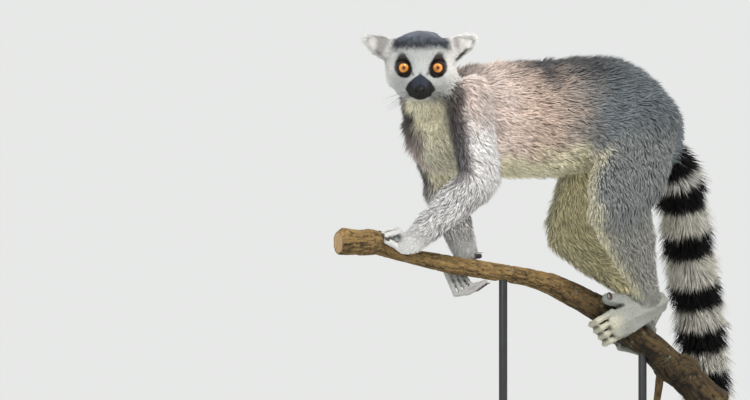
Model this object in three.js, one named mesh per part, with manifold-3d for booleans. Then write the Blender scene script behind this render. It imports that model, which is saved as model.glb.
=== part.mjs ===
// A ring-tailed lemur, life size, standing on a cut length of branch with its head turned to its left.
// The branch is held over a flat base by two rods, high enough for the tail to hang free.
//
// Millimetres, +Z up. The origin is the centre of the base's underside. The branch and the spine run
// along X, and the lemur walks towards -X, so its left side is -Y. The outline is that of the coat.
//
// Each piece is made by a function of `grow`, which swells it evenly. Pieces are placed in order, and
// each one is cut by those before it, swollen by GAP, so neighbours meet with that gap between them.

import * as THREE from "three";
import { mergeVertices } from "three/addons/utils/BufferGeometryUtils.js";
import Module from "manifold-3d";

const wasm = await Module();
wasm.setup();

// ---- driving dimensions ----------------------------------------------------------------------

const GAP = 0.3;
const DOME_RINGS = 2;

const TRUNK_WIDTH = 98;
const TRUNK_DEPTH = 118;
const BACK_LEVEL = 590; // top of the back above the floor
const HEAD_WIDTH = 69; // across the cheek fur
const HEAD_TURN = 58; // degrees to the left, from straight ahead
const HEAD_PITCH = 4; // degrees nose-down
const EYE_RADIUS = 7.8;
const EYE_SPACING = 31.4;
const TAIL_RADIUS = 24.5;
const DIGIT_RADIUS = 3.4;

const BASE = { length: 430, width: 230, thickness: 18, corner: 40, bevel: 2.5 };
const ROD_RADIUS = 4;
const ROD_SOCKET = 8; // how far a rod runs into the branch
const ROD_PLACES = { front: -52, rear: 102 };
const COLLAR = { radius: 13, height: 8, bevel: 2 };

// ---- colours ---------------------------------------------------------------------------------

const finish = (color, roughness, metalness = 0) =>
  new THREE.MeshStandardMaterial({ color, roughness, metalness });
const greyCoat = finish(0x8d8880, 0.95);
const paleCoat = finish(0xcfcabf, 0.95);
const ringedCoat = finish(0x5c5955, 0.95);
const darkSkin = finish(0x23211f, 0.55);
const nailHorn = finish(0x2b2622, 0.4);
const eyeball = finish(0xc9751c, 0.15);
const bark = finish(0x7a5a3a, 0.9);
const paintedMetal = finish(0x2b2b2b, 0.45, 0.6);
const paintedBoard = finish(0x2a2723, 0.5);

// ---- vectors and solids ----------------------------------------------------------------------

const X = new THREE.Vector3(1, 0, 0);
const Y = new THREE.Vector3(0, 1, 0);
const Z = new THREE.Vector3(0, 0, 1);
const vec = (p) => new THREE.Vector3(...p);
const radians = THREE.MathUtils.degToRad;

// A closed three.js geometry as a solid for cutting and joining.
function solid(geometry) {
  const bare = new THREE.BufferGeometry();
  bare.setAttribute("position", geometry.getAttribute("position"));
  bare.setIndex(geometry.index);
  const merged = mergeVertices(bare, 1e-3);
  return new wasm.Manifold(
    new wasm.Mesh({
      numProp: 3,
      vertProperties: new Float32Array(merged.attributes.position.array),
      triVerts: new Uint32Array(merged.index.array),
    }),
  );
}

// A solid back as a three.js geometry.
function geometryOf(made) {
  const { numProp, numVert, vertProperties, triVerts } = made.getMesh();
  const points = new Float32Array(numVert * 3);
  for (let i = 0; i < numVert; i++) {
    points.set(vertProperties.subarray(i * numProp, i * numProp + 3), i * 3);
  }
  const geometry = new THREE.BufferGeometry();
  geometry.setAttribute("position", new THREE.BufferAttribute(points, 3));
  geometry.setIndex(new THREE.BufferAttribute(triVerts, 1));
  geometry.computeVertexNormals();
  return geometry;
}

const union = (solids) => solids.reduce((a, b) => a.add(b));
const largest = (made) => made.decompose().sort((a, b) => b.volume() - a.volume())[0];

// An ellipsoid with half-sizes `sizes`, turned so that its own axes lie along `axes`.
function ellipsoid(centre, sizes, axes = [X, Y, Z], grow = 0, detail = 8) {
  const geometry = new THREE.SphereGeometry(1, detail, Math.ceil(detail * 0.6));
  const stretched = axes.map((axis, i) => axis.clone().multiplyScalar(sizes[i] + grow));
  const placing = new THREE.Matrix4().makeBasis(...stretched);
  geometry.applyMatrix4(placing.setPosition(vec(centre)));
  return solid(geometry);
}

// A closed loft: an ellipse carried along a smooth path. A station is [x, y, z, w, h], its centre,
// its half-width sideways and its half-height towards `up`. The ellipses stand square to `axis`, or
// to the path where that isn't given. Only the stretch from..to is made. An end is flat where its
// `round` is 0, and otherwise has a dome that many times as tall as the ellipse's mean radius.
function loft(stations, options) {
  const { up = Z, axis, sides = 14, rings = 8, from = 0, to = 1, grow = 0 } = options;
  const { round = [0.8, 0.8] } = options;
  const centres = new THREE.CatmullRomCurve3(stations.map(([x, y, z]) => new THREE.Vector3(x, y, z)));
  const sizes = new THREE.CatmullRomCurve3(
    stations.map(([, , , w, h]) => new THREE.Vector3(w, h, 0)),
    false,
    "catmullrom",
  );

  const points = [];
  const faces = [];
  const frame = (t) => {
    const along = axis ? axis.clone() : centres.getTangent(t);
    const side = along.clone().cross(up).normalize();
    const size = sizes.getPoint(t);
    const top = side.clone().cross(along);
    return { centre: centres.getPoint(t), along, side, top, w: size.x, h: size.y };
  };
  const ring = (f, shift, scale) => {
    const centre = f.centre.clone().addScaledVector(f.along, shift);
    for (let j = 0; j < sides; j++) {
      const a = (j / sides) * Math.PI * 2;
      points.push(
        centre
          .clone()
          .addScaledVector(f.side, (f.w + grow) * scale * Math.cos(a))
          .addScaledVector(f.top, (f.h + grow) * scale * Math.sin(a)),
      );
    }
  };
  const pole = (f, shift) => points.push(f.centre.clone().addScaledVector(f.along, shift)) - 1;

  // The rings in order, with each end's dome worked out from its last ring.
  const dome = (f, sign, tall) =>
    Array.from({ length: DOME_RINGS - 1 }, (_, k) => {
      const a = ((k + 1) / DOME_RINGS) * (Math.PI / 2);
      return { f, shift: sign * Math.sin(a) * tall, scale: Math.cos(a) };
    });
  const first = frame(from);
  const last = frame(to);
  const tall = [first, last].map((f, end) => round[end] * ((f.w + f.h) / 2) + grow);
  const layers = [
    ...(round[0] ? dome(first, -1, tall[0]).reverse() : []),
    { f: first, shift: round[0] ? 0 : -grow, scale: 1 },
    ...Array.from({ length: rings - 1 }, (_, i) => ({
      f: frame(from + ((to - from) * (i + 1)) / rings),
      shift: 0,
      scale: 1,
    })),
    { f: last, shift: round[1] ? 0 : grow, scale: 1 },
    ...(round[1] ? dome(last, 1, tall[1]) : []),
  ];
  for (const { f, shift, scale } of layers) ring(f, shift, scale);
  const startPole = pole(first, -tall[0] * (round[0] ? 1 : 0) - (round[0] ? 0 : grow));
  const endPole = pole(last, tall[1] * (round[1] ? 1 : 0) + (round[1] ? 0 : grow));

  const at = (i, j) => i * sides + (j % sides);
  for (let j = 0; j < sides; j++) {
    faces.push(startPole, at(0, j), at(0, j + 1));
    for (let i = 0; i < layers.length - 1; i++) {
      faces.push(at(i, j), at(i + 1, j), at(i, j + 1), at(i, j + 1), at(i + 1, j), at(i + 1, j + 1));
    }
    faces.push(endPole, at(layers.length - 1, j + 1), at(layers.length - 1, j));
  }
  const geometry = new THREE.BufferGeometry().setFromPoints(points);
  geometry.setIndex(faces);
  return solid(geometry);
}

// Stations along the straight line from joint a to joint b. A girth is [share of the way, w, h, shift],
// where shift moves the centre along +X, for muscle that lies behind or before the bone.
const limb = (a, b, girths) =>
  girths.map(([t, w, h, shift = 0]) => {
    const p = vec(a).lerp(vec(b), t);
    return [p.x + shift, p.y, p.z, w, h];
  });

// ---- placing the pieces ----------------------------------------------------------------------

const lemur = new THREE.Group();
const placed = [];

const boxesMeet = (a, b) => [0, 1, 2].every((i) => a.min[i] <= b.max[i] && b.min[i] <= a.max[i]);

function place(name, material, make) {
  let made = make(0);
  for (const earlier of placed) {
    if (boxesMeet(earlier.boundingBox(), made.boundingBox())) made = made.subtract(earlier);
  }
  placed.push(make(GAP));
  const mesh = new THREE.Mesh(geometryOf(largest(made)), material);
  mesh.name = name;
  lemur.add(mesh);
}

// ---- the branch ------------------------------------------------------------------------------

const BRANCH = [
  [-228, 0, 412, 13.5, 13.5],
  [-206, 0, 410, 12, 12],
  [-189, 0, 407, 8.5, 8.5],
  [-172, 0, 401, 6.5, 6.5],
  [-140, 0, 395, 7.8, 7.8],
  [-110, 0, 389.5, 9, 9],
  [-66, 1, 383, 8.8, 8.8],
  [-25, 0, 377, 9, 9],
  [0, 0, 370.5, 11, 11],
  [25, 0, 360, 12.5, 12.5],
  [55, -1, 346, 13.4, 13.4],
  [106, -6, 312, 14.5, 14.5],
  [150, -12, 276, 16, 16],
  [180, -18, 250, 18, 18],
];
const branchCentres = new THREE.CatmullRomCurve3(BRANCH.map(([x, y, z]) => new THREE.Vector3(x, y, z)));

// The branch's centre, direction and radius where it passes x.
function branchAt(x) {
  let low = 0;
  let high = 1;
  for (let i = 0; i < 30; i++) {
    const middle = (low + high) / 2;
    if (branchCentres.getPoint(middle).x < x) low = middle;
    else high = middle;
  }
  const position = low * (BRANCH.length - 1);
  const station = Math.min(Math.floor(position), BRANCH.length - 2);
  const radius = THREE.MathUtils.lerp(BRANCH[station][3], BRANCH[station + 1][3], position - station);
  return { centre: branchCentres.getPoint(low), along: branchCentres.getTangent(low), radius };
}

// A point `lift` above the bark at x, `angle` degrees round from the top: 90 is the left side (-Y).
function onBranch(x, angle, lift) {
  const { centre, along, radius } = branchAt(x);
  const left = along.clone().cross(Z).normalize();
  const top = left.clone().cross(along);
  return centre
    .clone()
    .addScaledVector(top, (radius + lift) * Math.cos(radians(angle)))
    .addScaledVector(left, (radius + lift) * Math.sin(radians(angle)));
}

// ---- stand -----------------------------------------------------------------------------------

function basePlate(grow) {
  const { length, width, thickness, corner, bevel } = BASE;
  const a = length / 2 - bevel + grow;
  const b = width / 2 - bevel + grow;
  const outline = new THREE.Shape();
  outline.moveTo(-a + corner, -b);
  for (const [x, y, turn] of [
    [1, -1, -90],
    [1, 1, 0],
    [-1, 1, 90],
    [-1, -1, 180],
  ]) {
    outline.absarc(x * (a - corner), y * (b - corner), corner, radians(turn), radians(turn + 90));
  }
  const plate = new THREE.ExtrudeGeometry(outline, {
    depth: thickness - 2 * bevel + 2 * grow,
    bevelThickness: bevel,
    bevelSize: bevel,
    bevelSegments: 1,
    curveSegments: 3,
  });
  plate.translate(0, 0, bevel - grow);
  return solid(plate);
}

// An upright disc or rod, made by turning its rectangular profile.
function upright(x, y, radius, bottom, top, bevel, sides) {
  const profile = [
    [0, bottom],
    [radius, bottom],
    [radius, top - bevel],
    [radius - bevel, top],
    [0, top],
  ].map(([r, z]) => new THREE.Vector2(r, z));
  const turned = new THREE.LatheGeometry(profile, sides);
  turned.rotateX(Math.PI / 2);
  turned.translate(x, y, 0);
  return solid(turned);
}

place("stand_base", paintedBoard, basePlate);
for (const [name, x] of Object.entries(ROD_PLACES)) {
  const under = onBranch(x, 180, -ROD_SOCKET);
  const y = branchAt(x).centre.y;
  const floor = BASE.thickness + GAP;
  place("stand_rod_" + name, paintedMetal, (g) =>
    upright(x, y, ROD_RADIUS + g, floor - g, under.z + g, 1, 8),
  );
  place("stand_collar_" + name, paintedMetal, (g) =>
    upright(x, y, COLLAR.radius + g, floor - g, floor + COLLAR.height + g, COLLAR.bevel, 10),
  );
}

// Knots and the stub of a broken twig make the branch a real one.
function branch(grow) {
  const wood = loft(BRANCH, { sides: 8, rings: 13, grow, round: [0.12, 0.12] });
  const knots = [
    [-200, 40, 12, 1.5],
    [140, 30, 14, 0],
  ].map(([x, angle, size, lift]) => {
    const centre = onBranch(x, angle, lift - size * 0.62).toArray();
    return ellipsoid(centre, [size * 1.35, size, size], undefined, grow, 7);
  });
  const twigFoot = onBranch(128, -150, -6);
  const twigTip = onBranch(146, -160, 22);
  const twig = loft(
    [
      [...twigFoot.toArray(), 5.2, 5.2],
      [...twigTip.toArray(), 3.6, 3.6],
    ],
    { up: Y, sides: 6, rings: 2, grow, round: [0.8, 0.2] },
  );
  return union([wood, ...knots, twig]);
}
place("perch_branch", bark, branch);

// ---- digits ----------------------------------------------------------------------------------

// A digit or a pad is a row of points. A point is [x, angle, lift, radius] on the branch, as onBranch
// takes them, or [[x, y, z], w, h] off it, with w and h as in a loft's station.
const gripStations = (rows) =>
  rows.map((row) => {
    if (row.length === 3) return row.flat();
    const [x, angle, lift, radius] = row;
    return [...onBranch(x, angle, lift).toArray(), radius, radius];
  });
const STEEP = new THREE.Vector3(0.3, 0.25, 0.92);
const digit = (rows) => (grow) =>
  loft(gripStations(rows), { up: STEEP, sides: 5, rings: rows.length - 1, grow, round: [0.5, 0.9] });
const pad = (rows, up) => (grow) =>
  loft(gripStations(rows), { up, sides: 6, rings: 3, grow, round: [0.6, 0.6] });

// The nail on the last point of a digit lies on the side away from the branch.
function nail(rows) {
  const stations = gripStations(rows);
  const tip = vec(stations.at(-1));
  const along = tip.clone().sub(vec(stations.at(-2))).normalize();
  const out = tip.clone().sub(branchAt(tip.x).centre);
  out.addScaledVector(along, -out.dot(along)).normalize();
  const side = along.clone().cross(out);
  const radius = stations.at(-1)[3];
  const centre = tip.clone().addScaledVector(out, radius).addScaledVector(along, 1).toArray();
  return (grow) => ellipsoid(centre, [radius * 0.72, 3, 0.8], [side, along, out], grow, 5);
}

// ---- the head's own frame --------------------------------------------------------------------

// Its origin is midway between the eyes: x to the lemur's left, y forwards, z up.
const EYE_LINE = vec([-165, -37, 571.5]);
const facing = new THREE.Matrix4()
  .makeRotationZ(radians(90 + HEAD_TURN))
  .multiply(new THREE.Matrix4().makeRotationX(radians(-HEAD_PITCH)));
const headAxes = [X, Y, Z].map((axis) => axis.clone().applyMatrix4(facing));
headAxes[0].negate(); // x to the left makes this frame a mirrored one, which only places points
const inHead = ([left, forward, up]) =>
  EYE_LINE.clone()
    .addScaledVector(headAxes[0], left)
    .addScaledVector(headAxes[1], forward)
    .addScaledVector(headAxes[2], up)
    .toArray();
const headStations = (rows) =>
  rows.map(([left, forward, up, w, h]) => [...inHead([left, forward, up]), w, h]);
const rightHanded = [headAxes[0].clone().negate(), headAxes[1], headAxes[2]];

const SIDES = { l: 1, r: -1 };
const eyeCentre = (side) => inHead([(side * EYE_SPACING) / 2, -3.6, 0]);

for (const [s, side] of Object.entries(SIDES)) {
  const sizes = [EYE_RADIUS, EYE_RADIUS, EYE_RADIUS];
  place("eye_" + s, eyeball, (grow) => ellipsoid(eyeCentre(side), sizes, rightHanded, grow, 9));
}

place("nose", darkSkin, (grow) =>
  union([
    ellipsoid(inHead([0, 33.8, -18]), [5.6, 3.6, 4.2], rightHanded, grow, 8),
    ellipsoid(inHead([0, 33.4, -21.5]), [2.4, 3, 3.4], rightHanded, grow, 6),
  ]),
);

const CHEEK = HEAD_WIDTH / 2;
const SKULL = headStations([
  [0, -60, 2, 19, 18.5],
  [0, -50, 3, 28, 27],
  [0, -34, 2.6, CHEEK - 1.5, 32.3],
  [0, -18, 1.2, CHEEK, 32.8],
  [0, -8, 0.2, CHEEK - 3.5, 31.2],
  [0, -2, -2.4, 26.5, 27],
  [0, 3, -7, 18.8, 20],
  [0, 10, -12.3, 15, 15.8],
  [0, 20, -16.8, 13, 12.8],
  [0, 29, -19.3, 10, 9.8],
]);

function head(grow) {
  const [, forward, up] = headAxes;
  const skull = loft(SKULL, { up, axis: forward, sides: 13, rings: 8, grow, round: [0.55, 0.6] });
  // A shallow dish round each eye makes the socket.
  const socket = (side) =>
    ellipsoid(inHead([side * 17, 7.5, 0.5]), [10.5, 6.4, 10.5], rightHanded, -grow, 7);
  return skull.subtract(socket(SIDES.l)).subtract(socket(SIDES.r));
}
place("head", paleCoat, head);

// An ear stands out from the crown, cupped in front. The left one is laid back a little.
const EAR_REACH = { l: 0.96, r: 1 };
for (const [s, side] of Object.entries(SIDES)) {
  const out = side * EAR_REACH[s];
  place("ear_" + s, paleCoat, (grow) => {
    const shell = loft(
      headStations([
        [out * 23, -25, 13, 12.5, 5],
        [out * 33, -24, 17.5, 11.8, 4.6],
        [out * 41, -23, 21.5, 8.8, 4],
        [out * 46.5, -22.5, 23.5, 5, 3.2],
      ]),
      { up: headAxes[1], sides: 8, rings: 4, grow, round: [0, 0.7] },
    );
    const cup = ellipsoid(inHead([out * 35, -18, 18]), [9, 4.2, 6.5], rightHanded, -grow, 7);
    return shell.subtract(cup);
  });
}

// ---- neck and trunk --------------------------------------------------------------------------

// Its rings are cut at a slant, square to a line from the nape down into the chest.
const NECK_AXIS = new THREE.Vector3(0.65, 0, -0.76).normalize();
const NECK = [
  [...inHead([0, -38, 2]), 24, 26],
  [-139, -5, 553, 26, 28],
  [-127, -1, 543, 31, 33],
  [-112, 0, 534, 35, 37],
];
place("neck", paleCoat, (grow) =>
  loft(NECK, { up: Z, axis: NECK_AXIS, sides: 11, rings: 4, grow, round: [0.3, 0.3] }),
);

const SPINE = BACK_LEVEL - TRUNK_DEPTH / 2; // the trunk's middle level
const HALF_W = TRUNK_WIDTH / 2;
const HALF_D = TRUNK_DEPTH / 2;
const TRUNK = [
  [-143, 0, SPINE - 12, HALF_W - 24, HALF_D - 24],
  [-130, 0, SPINE - 11, HALF_W - 13, HALF_D - 13],
  [-110, 0, SPINE - 8, HALF_W - 5, HALF_D - 5.5],
  [-78, 0, SPINE - 6, HALF_W - 2, HALF_D - 3],
  [-38, 0, SPINE - 5, HALF_W, HALF_D - 0.5],
  [2, 0, SPINE - 3.5, HALF_W, HALF_D + 0.5],
  [40, 0, SPINE + 1.5, HALF_W, HALF_D - 1],
  [74, 0, SPINE + 3, HALF_W - 1, HALF_D - 4],
  [104, 0, SPINE - 5, HALF_W - 5, HALF_D - 9],
  [128, 0, SPINE - 15, HALF_W - 16, HALF_D - 21],
];
const TRUNK_PARTS = [
  ["chest", 0, 0.4, 6],
  ["belly", 0.4, 0.7, 4],
  ["rump", 0.7, 1, 6],
];
TRUNK_PARTS.forEach(([name, from, to, rings], i) => {
  const round = [i === 0 ? 0.45 : 0, i === TRUNK_PARTS.length - 1 ? 0.5 : 0];
  const options = { axis: X, sides: 13, rings, from, to, round };
  place(name, greyCoat, (grow) => loft(TRUNK, { ...options, grow }));
});

// ---- limbs -----------------------------------------------------------------------------------

const JOINTS = {
  l: {
    shoulder: [-117, -38, 552],
    elbow: [-110, -53, 467],
    wrist: [-164, -17, 409],
    hip: [95, -24, 540],
    knee: [24, -57, 446],
    ankle: [97, -21, 358],
  },
  r: {
    shoulder: [-117, 38, 550],
    elbow: [-88, 46, 464],
    wrist: [-83, 15, 396],
    hip: [95, 24, 540],
    knee: [46, 54, 418],
    ankle: [129, 18, 350],
  },
};

// [share of the way, half-width, fore-and-aft half-size, shift along X]
const UPPER_ARM = [
  [0, 20, 25],
  [0.35, 20, 25],
  [0.75, 19, 24.5],
  [1, 17, 21.5],
];
const FOREARM = [
  [0, 17, 23, -3],
  [0.35, 17.5, 22, -3],
  [0.7, 14.5, 17.5, -1.5],
  [1, 10.5, 12],
];
const THIGH = [
  [0, 24, 40],
  [0.3, 27, 43, 2],
  [0.65, 24, 43, 13],
  [1, 17, 31, 9],
];
const SHANK = [
  [0, 18, 27, 6],
  [0.3, 18, 31, 12.5],
  [0.6, 15, 22.5, 8],
  [0.85, 13, 16.5, 2.5],
  [1, 12, 14.5, 0.5],
];

for (const [s, at] of Object.entries(JOINTS)) {
  const segment = (a, b, girths, sides, rings) => (grow) => {
    const axis = vec(at[b]).sub(vec(at[a])).normalize();
    return loft(limb(at[a], at[b], girths), { up: X, axis, sides, rings, grow, round: [0.7, 0.7] });
  };
  place("upper_arm_" + s, greyCoat, segment("shoulder", "elbow", UPPER_ARM, 10, 3));
  place("forearm_" + s, greyCoat, segment("elbow", "wrist", FOREARM, 10, 3));
  place("thigh_" + s, greyCoat, segment("hip", "knee", THIGH, 12, 4));
  place("shank_" + s, greyCoat, segment("knee", "ankle", SHANK, 10, 5));
}

// ---- hands and feet --------------------------------------------------------------------------

const R = DIGIT_RADIUS;
const four = (make) => [0, 1, 2, 3].map(make);

// The left hand lies over the top of the branch with its fingers arched and its thumb on the near
// side. The right hand comes down the far side, and its fingers hang below and point backwards.
const HANDS = {
  hand_l: {
    pads: [
      [
        [JOINTS.l.wrist, 10, 10],
        [-170, 48, 5, 8],
        [-173, 6, 5.5, 7.5],
      ],
    ],
    digits: [
      [
        [-168, 74, 5, R + 0.4],
        [-178, 66, 5.6, R],
        [-188, 61, 4, R - 0.6],
      ],
      ...four((i) => [
        [-171, 36 - i * 26, 7, R + 0.3],
        [-177 - i * 0.6, 31 - i * 22, 14.5 - i, R - 0.1],
        [-184 - i * 0.6, 32 - i * 24, 9.5 - i * 0.4, R - 0.3],
        [-190 - i * 0.8, 38 - i * 27, 3, R - 0.8],
      ]),
    ],
  },
  hand_r: {
    pads: [
      [
        [JOINTS.r.wrist, 10, 10],
        [-90, -70, 6, 9],
        [-97, -110, 5.5, 9],
      ],
    ],
    digits: [
      [
        [-92, -60, 5, R + 0.6],
        [-86, -35, 5, R + 0.4],
        [-79, -10, 3.8, R - 0.2],
      ],
      ...four((i) => [
        [-107 + i * 5.9, -118, 4, R - 0.3],
        [-101 + i * 5.2, 180, 18 - i * 3.6, R - 0.7],
        [-91 + i * 4.2, 168, 15.5 - i * 3.4, R - 0.9],
        [-84 + i * 3.8, 158, 11.5 - i * 2.8, R - 1.1],
      ]),
    ],
  },
};

// The left foot slants down across the near side of the branch: the heel is lifted, the big toe lies
// along the branch, and the other toes go under it and curl back. The right foot clasps the far side.
const FEET = {
  foot_l: {
    pads: [
      [
        [[115, -16, 353], 9.5, 11],
        [[104, -20, 348], 8.5, 12],
        [[86, -24, 342], 7.5, 14],
        [[66, -25, 334], 6.5, 16.5],
        [[58, -24, 331], 5, 15],
      ],
    ],
    digits: [
      [
        [[84, -21, 351.5], 8.2, 8.2],
        [[68, -20, 354], 7.8, 7.8],
        [[53, -19, 356], 6.2, 6.2],
      ],
      ...four((i) => [
        [[56 + i * 5.6, -24, 343.5 - i * 6.4], R + 0.5, R + 0.5],
        [[40 + i * 4.8, -21, 335 - i * 6.4], R + 0.1, R + 0.1],
        [[40 + i * 5, -11, 331 - i * 6], R, R],
        [[45.5 + i * 5.2, -3, 332 - i * 5.8], R - 0.6, R - 0.6],
      ]),
    ],
  },
  foot_r: {
    pads: [
      [
        [[131, 15, 351], 12.5, 10.5],
        [[123, 16, 336], 11.5, 10.5],
        [106, -66, 10, 10.5],
        [94, -86, 6.5, 9.5],
      ],
    ],
    up: Y,
    digits: [
      [
        [110, -42, 9, R + 1.8],
        [99, -22, 6.4, R + 1.4],
        [90, -6, 4.4, R],
      ],
      ...four((i) => [
        [98 + i * 5.4, -74 - i * 9, 6, R + 0.6],
        [86 + i * 5.8, -90 - i * 9, 7.5, R + 0.2],
        [76 + i * 6, -112 - i * 8, 7.4, R],
        [71 + i * 6, -136 - i * 5, 3.6, R - 0.7],
      ]),
    ],
  },
};

const GRIPS = { ...HANDS, ...FEET };
for (const [name, { pads, digits, up = Z }] of Object.entries(GRIPS)) {
  digits.forEach((rows, i) => place(name + "_nail_" + (i + 1), nailHorn, nail(rows)));
  const makers = [...pads.map((rows) => pad(rows, up)), ...digits.map(digit)];
  place(name, paleCoat, (grow) => union(makers.map((make) => make(grow))));
}

// ---- tail ------------------------------------------------------------------------------------

const TAIL = [
  [118, 0, 524, -8],
  [149, 6, 485, -3],
  [163, 15, 445, 0],
  [177, 24, 400, 0.5],
  [190, 31, 355, 0.5],
  [200, 35, 310, 0.5],
  [206, 37, 262, 0],
  [209, 38, 210, 0],
  [215, 38, 158, 0],
  [233, 36, 110, -1],
  [270, 33, 82, -2],
  [314, 30, 86, -4],
  [345, 28, 107, -12],
].map(([x, y, z, thinner]) => [x, y, z, TAIL_RADIUS + thinner, TAIL_RADIUS + thinner]);
const TAIL_LENGTHS = 6;
for (let i = 0; i < TAIL_LENGTHS; i++) {
  const from = i / TAIL_LENGTHS;
  const to = (i + 1) / TAIL_LENGTHS;
  const round = [0, i === TAIL_LENGTHS - 1 ? 1.3 : 0];
  place("tail_" + (i + 1), ringedCoat, (grow) =>
    loft(TAIL, { up: Y, sides: 11, rings: 3, from, to, grow, round }),
  );
}

export default lemur;
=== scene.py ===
import math
from typing import NamedTuple

import bmesh
import bpy
import numpy as np
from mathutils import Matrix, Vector
from mathutils.bvhtree import BVHTree


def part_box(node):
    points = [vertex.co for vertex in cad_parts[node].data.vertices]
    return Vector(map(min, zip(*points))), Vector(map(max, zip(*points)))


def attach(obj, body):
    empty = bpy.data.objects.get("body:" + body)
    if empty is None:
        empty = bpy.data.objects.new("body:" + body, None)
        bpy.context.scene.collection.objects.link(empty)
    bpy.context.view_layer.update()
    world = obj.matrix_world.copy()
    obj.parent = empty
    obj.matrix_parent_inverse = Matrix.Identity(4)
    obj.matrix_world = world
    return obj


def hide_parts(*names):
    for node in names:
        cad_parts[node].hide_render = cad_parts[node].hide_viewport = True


# A ring-tailed lemur, life size, on its cut length of branch: skin, coat, eyes and stand, made round
# its plain solids. Lengths are in metres, and the sizes below are millimetres times MM.
# The animal faces -X, its left side is -Y, and its head is turned to its left.

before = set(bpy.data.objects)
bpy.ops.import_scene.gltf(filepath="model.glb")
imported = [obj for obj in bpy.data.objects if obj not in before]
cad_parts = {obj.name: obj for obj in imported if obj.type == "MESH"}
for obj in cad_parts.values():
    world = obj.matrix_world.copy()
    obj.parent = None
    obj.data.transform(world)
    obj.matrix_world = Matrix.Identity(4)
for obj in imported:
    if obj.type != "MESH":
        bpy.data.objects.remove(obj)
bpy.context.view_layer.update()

MM = 0.001
X, Y, Z = np.eye(3)

# ---- driving sizes ----

VOXEL = 1.0 * MM  # grain of the skin before it is thinned
GROW = 0.45 * MM  # closes the gaps between neighbouring solids
DIGIT_GROW = 0.15 * MM  # the same for hands and feet, whose fingers and toes must stay apart
SMOOTH_ROUNDS = 96  # of smoothing over the whole skin
COARSE_SHARE = 0.22  # of the skin's triangles that stay where the coat hides them
FACE_TILT = 25.1  # degrees by which the nose lies below the line straight ahead of the eyes
EYE_DEPTH = 3.6 * MM  # of the eye's centre behind the head's own origin
EYE_RADIUS = 7.7 * MM
CORNEA = 0.75 * MM  # how far it bulges over the eye's round
IRIS_ANGLE = 36.0  # degrees from the gaze to the iris's edge, seen from the eye's centre
LID_ANGLES = (46.0, 35.5, 42.0)  # from the gaze to the lids' edge, across, above and below
WHISKER_RADIUS = 0.11 * MM  # at its root
WHISKER_SAG = 0.12  # of its tip, as a share of its length
RINGS = (9, 45, 93, 147, 192, 236)  # millimetres along the tail of the first dark rings' roots
RING_STEP = 44  # from there on
RING_WIDTH = 24.5
TIP_LENGTH = 30  # millimetres of the tail's end that are black
CAMERA_DISTANCE = 3.6  # metres, to the upright plane through the branch's middle
CAMERA_AZIMUTH = -30.0  # degrees
CAMERA_HEIGHT = 0.45
CAMERA_SHIFT = -0.16625  # metres along the picture's right
FRAME_WIDTH = 0.7125  # metres that the picture's width spans at that distance

TUFT_SHARE = 1.0

# ---- small tools ----


def unit(v):
    return v / np.maximum(np.linalg.norm(v, axis=-1, keepdims=True), 1e-12)


def ramp(x, low, high):
    """0 below low, 1 above high, and smooth between them."""
    t = np.clip((x - low) / (high - low), 0, 1)
    return t * t * (3 - 2 * t)


def hill(x, middle, width):
    """1 at the middle, falling to almost nothing at twice the width from it."""
    return np.exp(-(((x - middle) / width) ** 2))


def turns(count):
    """Evenly spaced angles all the way round."""
    return np.linspace(0, 2 * math.pi, count, endpoint=False)


def crossed(a, b):
    """Every value of a with every value of b, as two flat arrays."""
    a, b = np.meshgrid(a, b, indexing="ij")
    return a.ravel(), b.ravel()


def mix(a, b, amount):
    """Colour a where amount is 0 and b where it is 1; either may be a colour for each point."""
    return a + (b - a) * np.asarray(amount)[..., None]


LATTICE = np.random.default_rng(5).random((32, 32, 32))


def noise(points, size, shift=0.0):
    """Smooth noise from 0 to 1, with blobs about `size` across."""
    q = np.asarray(points) / size + shift
    cell = np.floor(q).astype(int)
    f = q - cell
    f = f * f * (3 - 2 * f)
    total = np.zeros(len(q))
    for corner in np.ndindex(2, 2, 2):
        weight = np.prod(np.where(corner, f, 1 - f), axis=1)
        i, j, k = ((cell + corner) % len(LATTICE)).T
        total += weight * LATTICE[i, j, k]
    return total


def srgb(*rgb):
    """A colour given as 0 to 255 in sRGB, as linear light."""
    c = np.array(rgb) / 255
    return np.where(c <= 0.04045, c / 12.92, ((c + 0.055) / 1.055) ** 2.4)


def arrays(obj):
    """An object's points, welded, and its triangles."""
    mesh = obj.data
    points = np.empty(len(mesh.vertices) * 3)
    mesh.vertices.foreach_get("co", points)
    mesh.calc_loop_triangles()
    faces = np.empty(len(mesh.loop_triangles) * 3, np.int32)
    mesh.loop_triangles.foreach_get("vertices", faces)
    _, first, where = np.unique(
        np.round(points.reshape(-1, 3), 6), axis=0, return_index=True, return_inverse=True
    )
    faces = where.ravel()[faces].reshape(-1, 3)
    whole = (faces[:, 0] != faces[:, 1]) & (faces[:, 1] != faces[:, 2]) & (faces[:, 2] != faces[:, 0])
    return points.reshape(-1, 3)[first], faces[whole]


def face_normals(points, faces):
    """Each triangle's normal, as long as twice its area."""
    p = points[faces]
    return np.cross(p[:, 1] - p[:, 0], p[:, 2] - p[:, 0])


def normals_of(points, faces):
    """The surface's normal at each of its points."""
    flat = face_normals(points, faces)
    total = np.zeros_like(points)
    for k in range(3):
        total[:, k] = np.bincount(faces.ravel(), np.repeat(flat[:, k], 3), len(points))
    return unit(total)


def edges_of(faces):
    """Each edge once, as a pair of points."""
    pairs = np.concatenate([faces[:, [i, (i + 1) % 3]] for i in range(3)])
    pairs.sort(axis=1)
    keys = np.unique(pairs[:, 0].astype(np.int64) << 32 | pairs[:, 1])
    return np.stack([keys >> 32, keys & 0xFFFFFFFF], axis=1)


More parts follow.
